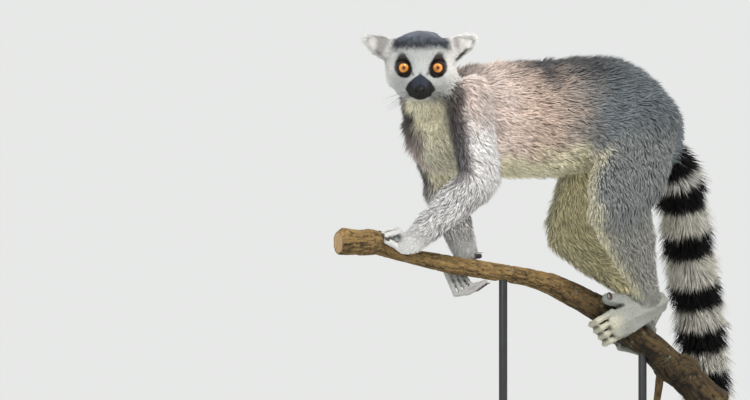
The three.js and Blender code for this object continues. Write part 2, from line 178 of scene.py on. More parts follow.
def spread(values, edges, rounds):
    """Smooths values over a mesh, `rounds` steps of mixing each with its neighbours' mean."""
    values = np.array(values, float)
    flat = values.reshape(len(values), -1)
    count = np.maximum(np.bincount(edges.ravel(), minlength=len(flat)), 1)
    a, b = edges.T
    for _ in range(rounds):
        for k in range(flat.shape[1]):
            v = flat[:, k]
            mean = (np.bincount(a, v[b], len(v)) + np.bincount(b, v[a], len(v))) / count
            flat[:, k] += mean - v
    return flat.reshape(values.shape)


def corner_shares(rng, count):
    """Shares of a triangle's three corners, for points strewn evenly over it."""
    a, b = rng.random((2, count))
    a, b = np.where(a + b > 1, 1 - a, a), np.where(a + b > 1, 1 - b, b)
    return np.stack([1 - a - b, a, b], axis=1)[:, :, None]


def new_object(name, points, faces, material=None):
    """A mesh object from arrays. faces is an array, or a list of arrays with 3 or 4 corners each."""
    faces = [faces] if isinstance(faces, np.ndarray) else faces
    mesh = bpy.data.meshes.new(name)
    corners = np.concatenate([f.ravel() for f in faces])
    sizes = np.concatenate([np.full(len(f), f.shape[1]) for f in faces])
    mesh.vertices.add(len(points))
    mesh.vertices.foreach_set("co", np.ravel(points).astype(np.float32))
    mesh.loops.add(len(corners))
    mesh.loops.foreach_set("vertex_index", corners.astype(np.int32))
    mesh.polygons.add(len(sizes))
    mesh.polygons.foreach_set("loop_start", (np.cumsum(sizes) - sizes).astype(np.int32))
    mesh.polygons.foreach_set("use_smooth", np.ones(len(sizes), bool))
    mesh.update(calc_edges=True)
    obj = bpy.data.objects.new(name, mesh)
    bpy.context.scene.collection.objects.link(obj)
    if material:
        mesh.materials.append(material)
    return obj


def paint(obj, name, values):
    """Stores a colour, or a number, on each of an object's points."""
    values = np.asarray(values, np.float32)
    if values.ndim == 1:
        obj.data.attributes.new(name, "FLOAT", "POINT").data.foreach_set("value", values)
        return
    rgba = np.ones((len(values), 4), np.float32)
    rgba[:, :3] = values
    obj.data.color_attributes.new(name, "FLOAT_COLOR", "POINT").data.foreach_set("color", rgba.ravel())


def modified(obj, kind, **settings):
    """The arrays of an object's mesh after one modifier. The object is removed."""
    modifier = obj.modifiers.new("made", kind)
    for key, value in settings.items():
        setattr(modifier, key, value)
    graph = bpy.context.evaluated_depsgraph_get()
    obj.data = bpy.data.meshes.new_from_object(obj.evaluated_get(graph))
    obj.modifiers.clear()
    made = arrays(obj)
    bpy.data.objects.remove(obj)
    return made


def add_piece(name, points, faces, material, slot, *nodes, **attributes):
    """A piece that rides on the one body and stands for its nodes. Its slot is not used."""
    piece = new_object(name, points, faces, material)
    for attribute, values in attributes.items():
        paint(piece, attribute, values)
    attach(piece, "root")
    if nodes:
        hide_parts(*nodes)
    return piece


# ---- materials ----


class Graph:
    """A node tree under construction.

    A node's own settings are given by their names, which are lower case. Its sockets are given in
    order or by their names, which start with a capital and have an underscore for a space.
    """

    def __init__(self, owner):
        owner.use_nodes = True
        self.owner = owner
        self.tree = owner.node_tree

    def fill(self, socket, value):
        if isinstance(value, bpy.types.NodeSocket):
            self.tree.links.new(value, socket)
        else:
            socket.default_value = value

    def set(self, node, *values, **named):
        for key, value in named.items():
            if key.islower():
                setattr(node, key, value)
            else:
                self.fill(node.inputs[key.replace("_", " ")], value)
        for socket, value in zip(node.inputs, values):
            self.fill(socket, value)
        return node

    def node(self, kind, *values, **named):
        return self.set(self.tree.nodes.new("ShaderNode" + kind), *values, **named)

    def noise(self, scale, detail=3.0, stretch=(1, 1, 1), roughness=0.5):
        """Noise from 0 to 1 in the object's own space, with `scale` blobs to the metre."""
        where = self.node("TexCoord").outputs["Object"]
        place = self.node("Mapping", Vector=where, Scale=stretch).outputs[0]
        made = self.node("TexNoise", Vector=place, Scale=scale, Detail=detail, Roughness=roughness)
        return made.outputs[0]

    def attribute(self, name, output="Color"):
        return self.node("Attribute", attribute_name=name).outputs[output]

    def shades(self, value, stops):
        """A colour ramp: stops are (place, linear rgb)."""
        ramped = self.node("ValToRGB", Fac=value)
        elements = ramped.color_ramp.elements
        for i, (place, rgb) in enumerate(stops):
            stop = elements[i] if i < 2 else elements.new(place)
            stop.position = place
            stop.color = (*rgb, 1)
        return ramped.outputs[0]

    def between(self, value, low, high):
        """A value from 0..1 as one from low..high."""
        return self.node("MapRange", Value=value, To_Min=low, To_Max=high).outputs[0]

    def times(self, colour, factor):
        """A colour made lighter or darker by a factor."""
        return self.node("VectorMath", operation="SCALE", Vector=colour, Scale=factor).outputs[0]

    def blend(self, factor, a, b):
        """Colour a where the factor is 0, and b where it is 1."""
        mixed = self.node("Mix", factor, data_type="RGBA")
        for socket, colour in zip(mixed.inputs[6:8], (a, b)):
            self.fill(socket, colour if isinstance(colour, bpy.types.NodeSocket) else (*colour, 1))
        return mixed.outputs[2]


class Finish(Graph):
    """A material under construction."""

    def __init__(self, name, roughness, **sockets):
        super().__init__(bpy.data.materials.new(name))
        self.shader = self.tree.nodes["Principled BSDF"]
        self.set(self.shader, Roughness=roughness, **sockets)

    def done(self, colour, height=None, depth=0.0, rough=None):
        """Sets the colour, a bump of that depth in metres, and a roughness that varies."""
        self.set(self.shader, Base_Color=colour)
        if height is not None:
            bump = self.node("Bump", Height=height, Distance=depth, Strength=1.0)
            self.set(self.shader, Normal=bump.outputs[0])
        if rough is not None:
            self.set(self.shader, Roughness=rough)
        return self.owner


def fur_material(name):
    """Hair: the coat's own colour, broken by fine light and dark strands."""
    g = Finish(name, 0.65, Specular_IOR_Level=0.12)
    strands = g.noise(1400, 2)
    patches = g.noise(160, 3)
    colour = g.times(g.attribute("Col"), g.between(strands, 0.78, 1.22))
    return g.done(g.times(colour, g.between(patches, 0.92, 1.08)), g.noise(2600, 2), 0.00008)


def skin_material():
    """Skin under the hair, seen on the face, hands and feet: short down over fine creases."""
    g = Finish("skin", 0.7, Specular_IOR_Level=0.3)
    down = g.noise(1900, 3)
    colour = g.times(g.attribute("Col"), g.between(down, 0.72, 1.2))
    return g.done(colour, down, 0.0003)


def leather_material(name, dark, light, depth=0.0002):
    """Bare dark skin, pebbled like a nose."""
    g = Finish(name, 0.45, Specular_IOR_Level=0.2)
    where = g.node("TexCoord").outputs["Object"]
    pebbles = g.node("TexVoronoi", Vector=where, Scale=1500.0).outputs[0]
    colour = g.blend(g.noise(500, 3), dark, light)
    return g.done(colour, pebbles, depth, g.between(g.noise(900, 2), 0.38, 0.56))


def nail_material():
    g = Finish("nail_horn", 0.32, Specular_IOR_Level=0.5)
    grain = g.noise(700, 3, (1, 1, 0.3))
    return g.done(g.blend(grain, srgb(38, 32, 28), srgb(78, 66, 56)), grain, 0.00008)


def eye_material():
    """Pupil, fibrous amber iris, its dark rim and the brown white, by angle from the gaze."""
    g = Finish("eye", 0.05, IOR=1.34)
    angle = g.attribute("angle", "Fac")
    spokes = g.attribute("spokes", "Vector")
    fibres = g.node("TexNoise", Vector=spokes, Scale=7.0, Detail=4.0).outputs[0]
    ragged = g.node("Math", fibres, 0.03, angle, operation="MULTIPLY_ADD").outputs[0]
    edge = IRIS_ANGLE / 90
    iris = g.shades(
        ragged,
        [
            (0.0, srgb(44, 25, 13)),
            (0.084, srgb(52, 28, 13)),
            (0.105, srgb(118, 66, 26)),
            (0.18, srgb(192, 124, 56)),
            (edge * 0.75, srgb(214, 148, 74)),
            (edge * 0.97, srgb(174, 106, 46)),
            (edge * 1.04, srgb(60, 32, 16)),
            (edge * 1.12, srgb(26, 18, 13)),
            (1.0, srgb(40, 28, 22)),
        ],
    )
    return g.done(g.times(iris, g.between(fibres, 0.62, 1.38)))


def bark_material():
    g = Finish("bark", 0.82, Specular_IOR_Level=0.3)
    fine = g.noise(420, 5, (0.35, 1, 1), 0.65)
    broad = g.noise(60, 3)
    colour = g.times(g.attribute("Col"), g.between(fine, 0.62, 1.38))
    lichen = g.shades(g.noise(95, 5, roughness=0.7), [(0.6, (0, 0, 0)), (0.7, (0.5, 0.5, 0.5))])
    colour = g.blend(lichen, g.times(colour, g.between(broad, 0.85, 1.15)), srgb(150, 152, 128))
    return g.done(colour, fine, 0.0009, g.between(fine, 0.92, 0.7))


def board_material():
    """Dark stained wood under satin varnish, its grain along the base."""
    g = Finish("stand_board", 0.42, Specular_IOR_Level=0.5, Coat_Weight=0.25, Coat_Roughness=0.25)
    grain = g.noise(60, 6, (0.35, 6, 6), 0.6)
    pores = g.noise(500, 2, (0.08, 1, 1))
    browns = [(0.3, srgb(30, 22, 17)), (0.5, srgb(52, 38, 28)), (0.7, srgb(74, 54, 39))]
    colour = g.times(g.shades(grain, browns), g.between(pores, 0.75, 1.2))
    return g.done(colour, pores, 0.00012, g.between(pores, 0.52, 0.36))


def metal_material():
    """Black paint with a fine orange-peel surface."""
    g = Finish("stand_metal", 0.4, Metallic=0.3, Specular_IOR_Level=0.5)
    peel = g.noise(900, 2)
    wear = g.noise(45, 4)
    colour = g.blend(wear, srgb(34, 34, 35), srgb(50, 50, 51))
    return g.done(colour, peel, 0.00006, g.between(wear, 0.32, 0.5))


# ---- camera ----

PICTURE_RIGHT = np.array([math.cos(math.radians(CAMERA_AZIMUTH)), math.sin(math.radians(CAMERA_AZIMUTH)), 0])
PICTURE_DEPTH = np.cross(Z, PICTURE_RIGHT)
EYE_POINT = PICTURE_RIGHT * CAMERA_SHIFT + Z * CAMERA_HEIGHT - PICTURE_DEPTH * CAMERA_DISTANCE


def add_camera():
    data = bpy.data.cameras.new("camera")
    data.sensor_width = 36
    data.lens = data.sensor_width * CAMERA_DISTANCE / FRAME_WIDTH
    camera = bpy.data.objects.new("camera", data)
    camera.location = EYE_POINT
    camera.rotation_mode = "QUATERNION"
    camera.rotation_quaternion = Vector(PICTURE_DEPTH).to_track_quat("-Z", "Y")
    data.clip_end = 100
    bpy.context.scene.collection.objects.link(camera)
    bpy.context.scene.camera = camera


add_camera()

# ---- measures of the frame ----

SIDES = ("l", "r")
TAIL = [f"tail_{i}" for i in range(1, 7)]
FLESH = ["head", "ear_l", "ear_r", "neck", "chest", "belly", "rump", *TAIL] + [
    f"{part}_{side}" for part in ("upper_arm", "forearm", "hand", "thigh", "shank", "foot") for side in SIDES
]
SOLIDS = {name: arrays(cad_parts[name]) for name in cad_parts}


def middle(node):
    low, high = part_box(node)
    return np.array((low + high) / 2)


def seam(a, b):
    """The middle of the border where two neighbouring nodes meet."""
    p, q = SOLIDS[a][0], SOLIDS[b][0]
    gaps = np.linalg.norm(p[:, None] - q[None], axis=2).min(axis=1)
    return p[gaps < max(2 * MM, gaps.min() * 1.5)].mean(axis=0)


# The head's own frame: left, forward and up, with its origin just ahead of the eyes' middle.
EYES = {side: middle("eye_" + side) for side in SIDES}
LEFT = unit(EYES["l"] - EYES["r"])
TO_NOSE = middle("nose") - (EYES["l"] + EYES["r"]) / 2
TO_NOSE = unit(TO_NOSE - LEFT * (TO_NOSE @ LEFT))
NOSE_UP = np.cross(TO_NOSE, LEFT)
tilt = math.radians(FACE_TILT)
FORWARD = TO_NOSE * math.cos(tilt) + NOSE_UP * math.sin(tilt)
UP = np.cross(FORWARD, LEFT)
HEAD = np.stack([LEFT, FORWARD, UP])
HEAD_ORIGIN = (EYES["l"] + EYES["r"]) / 2 + FORWARD * EYE_DEPTH


def in_head(points):
    """Points in the head's frame, in millimetres."""
    return (points - HEAD_ORIGIN) @ HEAD.T / MM


def from_head(points):
    return HEAD_ORIGIN + np.asarray(points) * MM @ HEAD


def line_through(points, steps):
    """A smooth line through a few points, as many points, with the distance along it."""
    p = np.array(points)
    p = np.concatenate([[2 * p[0] - p[1]], p, [2 * p[-1] - p[-2]]])
    t = np.linspace(0, len(p) - 3 - 1e-9, steps)
    i = t.astype(int)
    f = (t - i)[:, None]
    a, b, c, d = p[i], p[i + 1], p[i + 2], p[i + 3]
    line = b + 0.5 * f * (c - a + f * (2 * a - 5 * b + 4 * c - d + f * (3 * (b - c) + d - a)))
    along = np.concatenate([[0], np.cumsum(np.linalg.norm(np.diff(line, axis=0), axis=1))])
    return line, along


def nearest_on(line, points):
    """The index of the nearest point of a line to each of many points."""
    best = np.empty(len(points), int)
    for start in range(0, len(points), 20000):
        part = points[start : start + 20000]
        best[start : start + 20000] = ((line**2).sum(1) - 2 * part @ line.T).argmin(axis=1)
    return best


def middle_of_solid(name):
    """The mean of a solid's surface."""
    points, faces = SOLIDS[name]
    size = np.linalg.norm(face_normals(points, faces), axis=1)
    return (points[faces].mean(axis=1) * size[:, None]).sum(axis=0) / size.sum()


def tail_points():
    """The start and the middle of each length of the tail, and its tip."""
    starts = [seam(a, b) for a, b in zip(["rump", *TAIL], TAIL)]
    last = SOLIDS[TAIL[-1]][0]
    tip = last[np.linalg.norm(last - starts[-1], axis=1).argmax()]
    pairs = zip(starts, map(middle_of_solid, TAIL))
    return [*(point for pair in pairs for point in pair), tip]


TAIL_LINE, TAIL_ALONG = line_through(tail_points(), 200)
THUMB_PAD = middle("hand_r_nail_1") - Z * 1.5 * MM


def surface_samples(name, count):
    """Points strewn evenly over a solid."""
    points, faces = SOLIDS[name]
    rng = np.random.default_rng(11)
    size = np.cumsum(np.linalg.norm(face_normals(points, faces), axis=1))
    pick = faces[np.searchsorted(size, rng.random(count) * size[-1])]
    return (points[pick] * corner_shares(rng, count)).sum(axis=1)


def branch_line():
    """The branch's middle line, found from slices square to it, out to its two cut ends."""
    samples = surface_samples("perch_branch", 60000)
    for place in ("front", "rear"):
        # The sockets that take the rods are left out.
        low, high = (np.array(v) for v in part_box("stand_rod_" + place))
        away = np.abs(samples - (low + high) / 2) - (high - low) / 2
        samples = samples[(away[:, :2] > 1 * MM).any(axis=1)]
    low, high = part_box("perch_branch")
    stops = np.linspace(low.x + 8 * MM, high.x - 14 * MM, 26)
    line = np.array([samples[np.abs(samples[:, 0] - x) < 5 * MM].mean(axis=0) for x in stops])
    for _ in range(3):
        step = unit(np.gradient(line, axis=0))
        for i, (centre, way) in enumerate(zip(line.copy(), step)):
            near = samples[np.linalg.norm(samples - centre, axis=1) < 30 * MM]
            slab = near[np.abs((near - centre) @ way) < 3 * MM]
            offset = slab.mean(axis=0) - centre
            line[i] = centre + offset - way * (offset @ way)
    ends = []
    for i, sign in ((0, -1), (-1, 1)):
        way = unit(line[1] - line[0]) if i == 0 else unit(line[-1] - line[-2])
        near = samples[np.linalg.norm(samples - line[i], axis=1) < 45 * MM]
        ends.append(line[i] + way * (((near - line[i]) @ way) * sign).max() * sign)
    return line_through(np.concatenate([[ends[0]], line, [ends[1]]]), 500)


BRANCH_LINE, BRANCH_ALONG = branch_line()

# ---- skin ----


class Part(NamedTuple):
    """What a kind of part is like. Its lengths are in millimetres."""

    depth: float  # of the coat over the skin
    smoothing: float  # of the skin, as a share of the most
    pepper: float  # how strongly dark and light hairs are mixed
    hair: tuple  # length, width of a tuft, and how far its tip stands off


PARTS = dict(
    head=Part(2.4, 1, 0, (5.0, 0.55, 1.9)),
    ear=Part(0.7, 0.3, 0, (5.5, 0.5, 1.6)),
    neck=Part(5, 1, 0.2, (9, 0.75, 3.4)),
    trunk=Part(7, 1, 0.2, (14, 1.0, 6)),
    upper_arm=Part(5, 1, 0.4, (12, 0.95, 4.5)),
    forearm=Part(3.8, 0.8, 1, (7.5, 0.7, 2.8)),
    hand=Part(0.2, 0.035, 0, (1.7, 0.4, 0.4)),
    thigh=Part(5.5, 1, 0.3, (12, 0.95, 4.8)),
    shank=Part(4, 0.8, 0.6, (9.5, 0.85, 3.6)),
    foot=Part(0.2, 0.035, 0.15, (2.0, 0.4, 0.5)),
    tail=Part(12, 1, 0, (25, 1.15, 16)),
)
KIND_OF = {name: next((k for k in PARTS if name.startswith(k)), "trunk") for name in FLESH}


def joined(solids):
    """Several solids as one, and which of them each face is from."""
    starts = np.cumsum([0, *(len(points) for points, _ in solids)])
    points = np.concatenate([points for points, _ in solids])
    faces = np.concatenate([faces + start for (_, faces), start in zip(solids, starts)])
    return points, faces, np.repeat(np.arange(len(solids)), [len(faces) for _, faces in solids])


def label_maker():
    """A function that gives the flesh node nearest to each point, as an index into FLESH."""
    points, faces, owner = joined([SOLIDS[name] for name in FLESH])
    tree = BVHTree.FromPolygons(points.tolist(), faces.tolist())
    return lambda where: owner[[tree.find_nearest(p)[2] for p in where.tolist()]]


node_at = label_maker()


def by_kind(labels, column):
    """A number for each point from a column of PARTS."""
    return np.array([getattr(PARTS[KIND_OF[name]], column) for name in FLESH], float)[labels]


def is_kind(labels, *kinds):
    """1 where a point belongs to one of these kinds of part, and otherwise 0."""
    return np.array([float(KIND_OF[name] in kinds) for name in FLESH])[labels]


def joined_flesh():
    """All flesh nodes, swollen until they meet, as one closed and evenly meshed surface."""
    swollen = []
    for name in FLESH:
        points, faces = SOLIDS[name]
        grow = DIGIT_GROW if KIND_OF[name] in ("hand", "foot") else GROW
        swollen.append((points + normals_of(points, faces) * grow, faces))
    points, faces, _ = joined(swollen)
    return modified(new_object("flesh", points, faces), "REMESH", mode="VOXEL", voxel_size=VOXEL)


def largest_part(points, faces):
    """The largest connected part of a mesh."""
    edges = edges_of(faces)
    part = np.arange(len(points))
    while True:
        before = part.copy()
        low = part[edges].min(axis=1)
        np.minimum.at(part, edges[:, 0], low)
        np.minimum.at(part, edges[:, 1], low)
        part = part[part]
        if (part == before).all():
            break
    kept = part == np.bincount(part).argmax()
    index = np.cumsum(kept) - 1
    return points[kept], index[faces[kept[faces].all(axis=1)]]


def near_joint(points):
    """1 round the wrists and ankles, and 0 from about a third of the limb away."""
    close = np.zeros(len(points))
    for side in SIDES:
        for limb, end in (("forearm", "hand"), ("shank", "foot")):
            where = seam(f"{limb}_{side}", f"{end}_{side}")
            reach = np.linalg.norm(points - where, axis=1) / MM
            close = np.maximum(close, 1 - ramp(reach, 12, 34))
    return close


def smooth_and_sink(points, faces):
    """Rounds off the facets and lets the surface down by the depth of the coat."""
    edges = edges_of(faces)
    labels = node_at(points)
    head = in_head(points)
    on_head = is_kind(labels, "head")
    joint = near_joint(points) * is_kind(labels, "forearm", "shank")
    muzzle = ramp(head[:, 1], -4, 8) * (np.abs(head[:, 0]) < 20)
    rate = by_kind(labels, "smoothing") * (1 - 0.75 * joint)
    rate = spread(np.where(on_head > 0, 1 - 0.8 * muzzle, rate), edges, 6)
    smooth = points.copy()
    for _ in range(SMOOTH_ROUNDS):
        smooth += (spread(smooth, edges, 1) - smooth) * rate[:, None]
    out = normals_of(smooth, faces)
    digits = spread(is_kind(labels, "hand", "foot"), edges, 5)
    grown = np.where(is_kind(labels, "hand", "foot") > 0, DIGIT_GROW, GROW)
    depth = spread(by_kind(labels, "depth") * MM * (1 - 0.6 * joint) + grown, edges, 12)
    face = ramp(head[:, 1], -22, 4) * on_head
    depth -= spread(face, edges, 8) * 1.3 * MM
    lost = ((points - smooth) * out).sum(axis=1)
    fine, broad = spread(lost, edges, 14), spread(lost, edges, 60)
    smooth += out * (broad + (fine - broad) * digits - depth)[:, None]
    # The grooves between fingers and toes are drawn deeper.
    return smooth + (smooth - spread(smooth, edges, 7)) * 0.7 * digits[:, None]


def thinned(points, faces):
    """Fewer and larger triangles on trunk, limbs and tail, where the coat hides them."""
    fine = is_kind(node_at(points), "head", "ear", "hand", "foot")
    body = new_object("thinned", points, faces)
    group = body.vertex_groups.new(name="coarse")
    group.add(np.flatnonzero(fine < 0.5).tolist(), 1.0, "REPLACE")
    return modified(body, "DECIMATE", ratio=COARSE_SHARE, vertex_group="coarse")


def refined(points, faces):
    """Finer triangles on the front of the face, where lids and lips are carved."""
    head = in_head(points)
    front = (head[:, 1] > -9) & (np.abs(head[:, 0]) < 31) & (head[:, 2] > -34) & (head[:, 2] < 20)
    front &= is_kind(node_at(points), "head") > 0
    body = new_object("refined", points, faces)
    mesh = bmesh.new()
    mesh.from_mesh(body.data)
    mesh.verts.ensure_lookup_table()
    cut = [e for e in mesh.edges if front[e.verts[0].index] and front[e.verts[1].index]]
    bmesh.ops.subdivide_edges(mesh, edges=cut, cuts=1, use_grid_fill=True)
    bmesh.ops.triangulate(mesh, faces=mesh.faces)
    mesh.to_mesh(body.data)
    mesh.free()
    made = arrays(body)
    bpy.data.objects.remove(body)
    return made


def eye_place(points, side):
    """Where points lie round an eye: distance, angle from straight ahead, and angle round it."""
    q = (points - EYES[side]) @ HEAD.T / MM
    q[:, 0] *= 1 if side == "l" else -1  # outwards
    distance = np.linalg.norm(q, axis=1)
    angle = np.degrees(np.arccos(np.clip(q[:, 1] / distance, -1, 1)))
    return distance, angle, np.arctan2(q[:, 2], q[:, 0])


def lid_opening(around):
    """The angle from straight ahead to the lid's edge, all round the eye."""
    across, above, below = LID_ANGLES
    tall = np.where(np.sin(around) > 0, above, below)
    corner = np.abs(np.angle(np.exp(1j * (around - math.pi - 0.25))))
    oval = 1 / np.sqrt((np.cos(around) / across) ** 2 + (np.sin(around) / tall) ** 2)
    return oval + 9 * hill(corner, 0, 0.26)


def carve_face(points, faces):
    """Lids and their folds, the brow, the mouth, the groove under the nose and a swelling on each side of
    the muzzle.
    """
    edges = edges_of(faces)
    labels = node_at(points)
    head = in_head(points)
    face = (is_kind(labels, "head") > 0) & (head[:, 1] > -12)
    weight = spread(face * 1.0, edges, 4)
    points = points + (spread(points, edges, 10) - points) * weight[:, None]
    out = normals_of(points, faces)
    head = in_head(points)
    radius = EYE_RADIUS / MM
    for side in SIDES:
        distance, angle, around = eye_place(points, side)
        past = angle - lid_opening(around)
        lid = radius + 0.4 + 0.9 * ramp(past, 0, 9) - 0.5 * hill(past, 19, 4)
        lid += 1.2 * hill(past, 31, 8) * ramp(np.sin(around), -0.1, 0.9)
        target = np.where(past < 0, radius - 3.0, lid)
        near = (distance < 16) & face
        amount = near * (1 - ramp(past, 14, 46)) * (1 - ramp(distance, 11.5, 15.5))
        moved = distance + (target - distance) * amount
        points = points + (points - EYES[side]) * ((moved / distance - 1) * near)[:, None]
    # The mouth's line runs back from under the nose.
    x, y, z = head.T
    line = -26.3 + 0.011 * (32 - y) ** 2 * ramp(y, 8, 20)
    mouth = hill(z, line, 0.8) * ramp(y, 9, 13) * (np.abs(x) < 15)
    # A groove under the nose parts the upper lip.
    parting = hill(x, 0, 0.7) * ramp(z, -27, -24.5) * ramp(y, 26, 30)
    pad = hill(np.abs(x), 8.5, 3.5) * hill(z, -22.5, 3) * hill(y, 22, 7)
    return points + out * ((-1.0 * mouth - 0.7 * parting + 1.0 * pad) * MM * face)[:, None]


class Skin:
    """The finished skin as arrays, with what the coat needs to know at each of its points."""

    def __init__(self):
        points, faces = largest_part(*joined_flesh())
        points = smooth_and_sink(points, faces)
        points, faces = thinned(points, faces)
        points, faces = refined(points, faces)
        self.points = carve_face(points, faces)
        self.faces = faces
        self.edges = edges_of(faces)
        self.out = normals_of(self.points, faces)
        self.labels = node_at(self.points)
        self.head = in_head(self.points)
        self.tail_index = nearest_on(TAIL_LINE, self.points)
        self.tail = TAIL_ALONG[self.tail_index]
        self.share = {kind: spread(is_kind(self.labels, kind), self.edges, 10) for kind in PARTS}
        # How far each point lies in a crease, for the painted shade between fingers and toes.
        hollow = ((spread(self.points, self.edges, 3) - self.points) * self.out).sum(axis=1)
        self.hollow = spread(ramp(hollow / MM, 0.03, 0.28), self.edges, 1)
        self.thumb_pad = 1 - ramp(np.linalg.norm(self.points - THUMB_PAD, axis=1) / MM, 5, 7.5)
        self.bare = self.thumb_pad > 0.5
        for side in SIDES:
            distance, angle, around = eye_place(self.points, side)
            self.bare |= (angle < lid_opening(around) + 2.5) & (distance < 11)


skin = Skin()

# ---- markings, with painted light and shade ----

WHITE = srgb(242, 240, 235)
FACE_WHITE = srgb(206, 208, 206)
CREAM = srgb(242, 235, 205)
CAP = srgb(55, 58, 65)
CAP_TOP = srgb(116, 122, 133)
NAPE = srgb(78, 74, 72)
BLACK = srgb(26, 24, 23)
MUZZLE = srgb(38, 37, 36)
CHIN = srgb(58, 50, 42)
BRIDGE = srgb(54, 60, 72)
# The back's grey, darkened as painted shade.
BACK = srgb(84, 84, 86)
FLANK = srgb(217, 194, 178)
RUMP = srgb(122, 129, 133)
THIGH = srgb(148, 151, 150)
SHANK = srgb(164, 164, 156)
ARM = srgb(250, 246, 244)
HAND = srgb(240, 239, 236)
FOOT = srgb(166, 168, 160)
EAR_HOLLOW = srgb(150, 144, 146)
TAIL_WHITE = srgb(206, 203, 192)
TAIL_ROOT = srgb(176, 178, 180)
TAIL_BLACK = srgb(14, 13, 14)
PALM = srgb(52, 46, 48)
SHOULDER = srgb(240, 222, 213)
# The next two darken the upper arm's front as painted shade; the first also greys the forearm's band behind.
SHOULDER_DARK = srgb(88, 83, 84)
SHOULDER_EDGE_SHADE = srgb(44, 40, 42)
RIGHT_LEG_SHADE = np.array([0.16, 0.18, 0.3])  # painted shade: how much darker and yellower the right leg is made


def wobble(points, size, reach):
    """Noise that moves a marking's edge, from -reach to reach."""
    return (noise(points, size) * 2 - 1) * reach


def eye_patch(head):
    """1 in the dark patch round each eye, which is pointed above and drawn out towards the nose."""
    x = np.abs(head[:, 0])
    z = head[:, 2] + wobble(head, 2.5, 0.5)
    above = 8.5 * (1 - np.clip(z / 16, 0, 1) ** 1.5)
    below = 8.5 * np.sqrt(np.clip(1 - (z / 8.8) ** 2, 0, 1))
    half = np.where(z > 0, above, below)
    patch = ramp(half - np.abs(x - 15.6 - 0.08 * z), -1.2, 1.2) * (z > -8.8) * ramp(15.5 - z, 0, 5)
    # A short dark streak runs from the inner corner down towards the nose.
    x, z = x - 7.8, z + 3.4
    along, across = x * 0.72 + z * 0.69, z * 0.72 - x * 0.69
    corner = (along / 3.4) ** 2 + (across / 1.7) ** 2
    return np.maximum(patch, 0.6 - 0.6 * ramp(corner, 0.2, 1.5)) * (head[:, 1] > -14)


def muzzle_mark(head):
    """1 on the dark muzzle, which is round below and narrows to a point between the eyes."""
    x, y, z = np.abs(head[:, 0]), head[:, 1], head[:, 2] + wobble(head, 2.5, 0.6)
    above = 1.3 + 12.1 * np.sin(np.clip(-z - 5, 0, 15) / 15 * math.pi / 2) ** 0.8
    below = 13.4 * np.clip(1 - np.abs((z + 20) / 10.5) ** 3, 0, 1) ** 0.45
    half = np.where(z > -20, above, below)
    return ramp(half - x, -0.9, 0.9) * ramp(y + 0.1 * (z + 14), 3, 6) * ramp(-z, 1.5, 5.5)


def head_colours(skin):
    head, points = skin.head, skin.points
    x, y, z = np.abs(head[:, 0]), head[:, 1], head[:, 2]
    edge = wobble(points, 3 * MM, 1.0)
    colour = mix(FACE_WHITE, WHITE, ramp(x, 18, 30))
    # Painted light: the near, left cheek is made brighter low down.
    colour = colour * (1 + 0.3 * ramp(head[:, 0], 18, 28) * ramp(-z, -4, 6))[:, None]
    # The cap starts above the white forehead, droops at its ends and runs back to the nape.
    brim = 17.5 - 3.0 * ramp(x, 16, 26) - 0.16 * np.clip(-y - 4, 0, 40) + edge
    sides = 26.5 - 0.10 * np.clip(y + 30, -30, 30) + edge
    streaks = wobble(points * (1.0, 1.0, 0.35), 2.2 * MM, 3.5)
    cap = ramp(z + 0.4 * streaks - brim, -4.0, 3.2) * ramp(sides - x, -3.5, 3.0)
    cap = np.maximum(cap, ramp(-y, 38, 46) * ramp(z, -12, 0))
    hood = mix(CAP, CAP_TOP, ramp(z + streaks, 19, 29))
    colour = mix(colour, hood, cap)
    dark = mix(BLACK, srgb(92, 84, 82), ramp(z, 6, 14))
    colour = mix(colour, dark, eye_patch(head))
    snout = mix(MUZZLE, BRIDGE, ramp(9 - x, 0, 4) * ramp(z, -19, -13))
    snout = mix(snout, CHIN, ramp(-z, 24, 29))
    colour = mix(colour, snout, muzzle_mark(head))
    colour = mix(colour, BLACK, ear_slit(head) * ramp(-y, 12, 18))
    return mix(colour, CREAM, ramp(-z, 24, 33) * ramp(-y, -10, 4) * 0.8)


def ear_slit(head):
    """1 in the dark slit that runs out along the lower edge of each ear's hollow."""
    x, z = np.abs(head[:, 0]) - 29.5, head[:, 2] - 4.5
    along = x * 0.74 + z * 0.67
    across = z * 0.74 - x * 0.67
    slit = ramp(along, -1, 2) * ramp(17 - along, 0, 3) * hill(across, 0, 1.8)
    return slit * np.where(head[:, 0] > 0, 1, 0.4)


def ear_colours(skin):
    """White behind and along the rim, with a pale grey hollow and a dark slit."""
    head = skin.head
    front = ramp(skin.out @ FORWARD, 0.2, 0.7)
    x = np.abs(head[:, 0])
    # The far, right ear's grey hollow reaches further out: partly its own grey, partly painted shade.
    reach = np.where(head[:, 0] > 0, 36, 42)
    hollow = front * ramp(reach - x, 0, 4) * ramp(x, 25, 29) * ramp(head[:, 2], 8, 12)
    colour = mix(WHITE, EAR_HOLLOW, hollow * 0.7)
    return mix(colour, BLACK, ear_slit(head) * front)


def neck_colours(skin):
    x, y, _ = skin.points.T / MM
    ventral = -skin.out[:, 2] * 0.55 - skin.out[:, 0] * 0.6
    ragged = wobble(skin.points, 4 * MM, 3)
    bib = ramp(-x + ragged, 126, 135) * ramp(-y - 3 + ragged, -3, 3)
    return mix(NAPE, CREAM, ramp(ventral, 0.0, 0.25) * bib)


